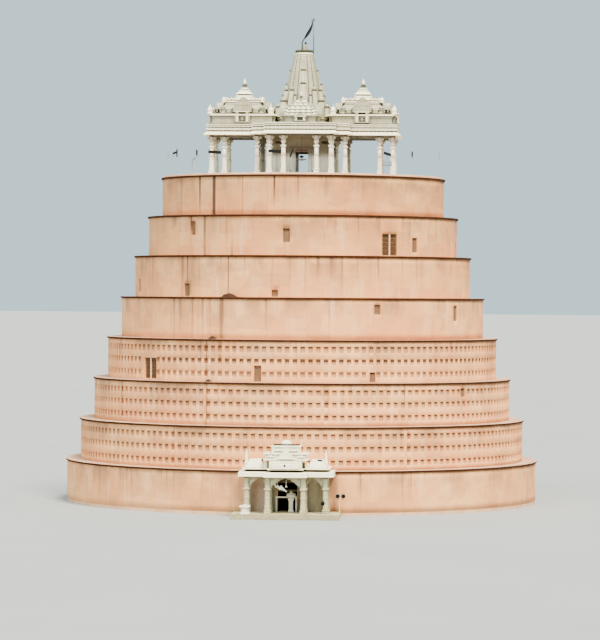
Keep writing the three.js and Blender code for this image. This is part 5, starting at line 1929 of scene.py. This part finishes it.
# Heaps of dirt: tier, bearing, half length and height
HEAPS = ((6, -21.1, 1.0, 0.4), (5, -24.5, 0.45, 0.3), (4, -23.5, 0.3, 0.26))
HEAP_LEVELS, HEAP_SIDES, HEAP_DEPTH = 6, 26, 0.38


def heap_of_dirt(half, height):
    heap = Shape()
    loops = []
    for level in range(HEAP_LEVELS):
        t = level / (HEAP_LEVELS - 1)
        loop = []
        for i in range(HEAP_SIDES):
            angle = math.tau * i / HEAP_SIDES
            rough = 1 + dice.uniform(-0.2, 0.2)
            size = (1 - t) ** 0.7 * rough + 0.02
            x, y = half * size * math.cos(angle), HEAP_DEPTH * size * math.sin(angle)
            loop.append((x, y, height * t * dice.uniform(0.86, 1.0)))
        loops.append(loop)
    heap.stack(loops, True)
    return heap


def debris():
    """Brown heaps of washed-down dirt on three terraces."""
    shape = Shape()
    for tier, bearing, half, height in HEAPS:
        placed = Shape()
        placed.merge(heap_of_dirt(half, height), at=(0, -wall_radius(tier) - 0.42, tier_floor(tier)))
        shape.merge(placed, turn=bearing)
    shape.made("terrace_dirt_heaps", DRY_DIRT, slot="terrace_stone")


# Stage and light, with linear colours
FLOOR_HALF = 1500
SKY_COLOUR, SKY_STRENGTH = (0.695, 0.915, 1.0, 1), 1.11
# Suns: name, strength, angle across, bearing, height above the horizon and colour
SUNS = (
    ("key", 11.3, 26, 31, 58, (1.0, 0.915, 0.77)),
    ("fill", 2.6, 60, -38, 30, (0.84, 0.97, 1.0)),
)


def stage():
    mesh = bpy.data.meshes.new("floor")
    mesh.from_pydata([(x, y, 0) for x, y in rectangle(FLOOR_HALF, FLOOR_HALF)], [], [(0, 1, 2, 3)])
    mesh.materials.append(plain("pale_floor", (0.32, 0.33, 0.33, 1), (0.34, 0.35, 0.35, 1), 0.9, scale=0.05))
    floor = bpy.data.objects.new("floor", mesh)
    bpy.context.collection.objects.link(floor)


def light():
    world = bpy.data.worlds.new("studio")
    world.use_nodes = True
    sky = world.node_tree.nodes["Background"]
    sky.inputs["Color"].default_value = SKY_COLOUR
    sky.inputs["Strength"].default_value = SKY_STRENGTH
    bpy.context.scene.world = world
    for name, energy, angle, bearing, height, colour in SUNS:
        data = bpy.data.lights.new(name, "SUN")
        data.energy = energy
        data.angle = math.radians(angle)
        data.color = colour
        lamp = bpy.data.objects.new(name, data)
        tilt = Matrix.Rotation(math.radians(90 - height), 4, "X")
        lamp.matrix_world = Matrix.Rotation(math.radians(bearing), 4, "Z") @ tilt
        bpy.context.collection.objects.link(lamp)


for build in (
    tower, kerb, windows,
    temple_plinth, temple_columns, sanctum, sanctum_trim, hanging_lamp, eaves_and_cornice, temple_roofs,
    spire, crown, flag_pole, pennant, floodlights,
    porch_platform, porch_arcades, porch_lining, porch_roof, door_frame, porch_stones, porch_scroll,
    porch_lamps, debris, stage, light,
):
    build()
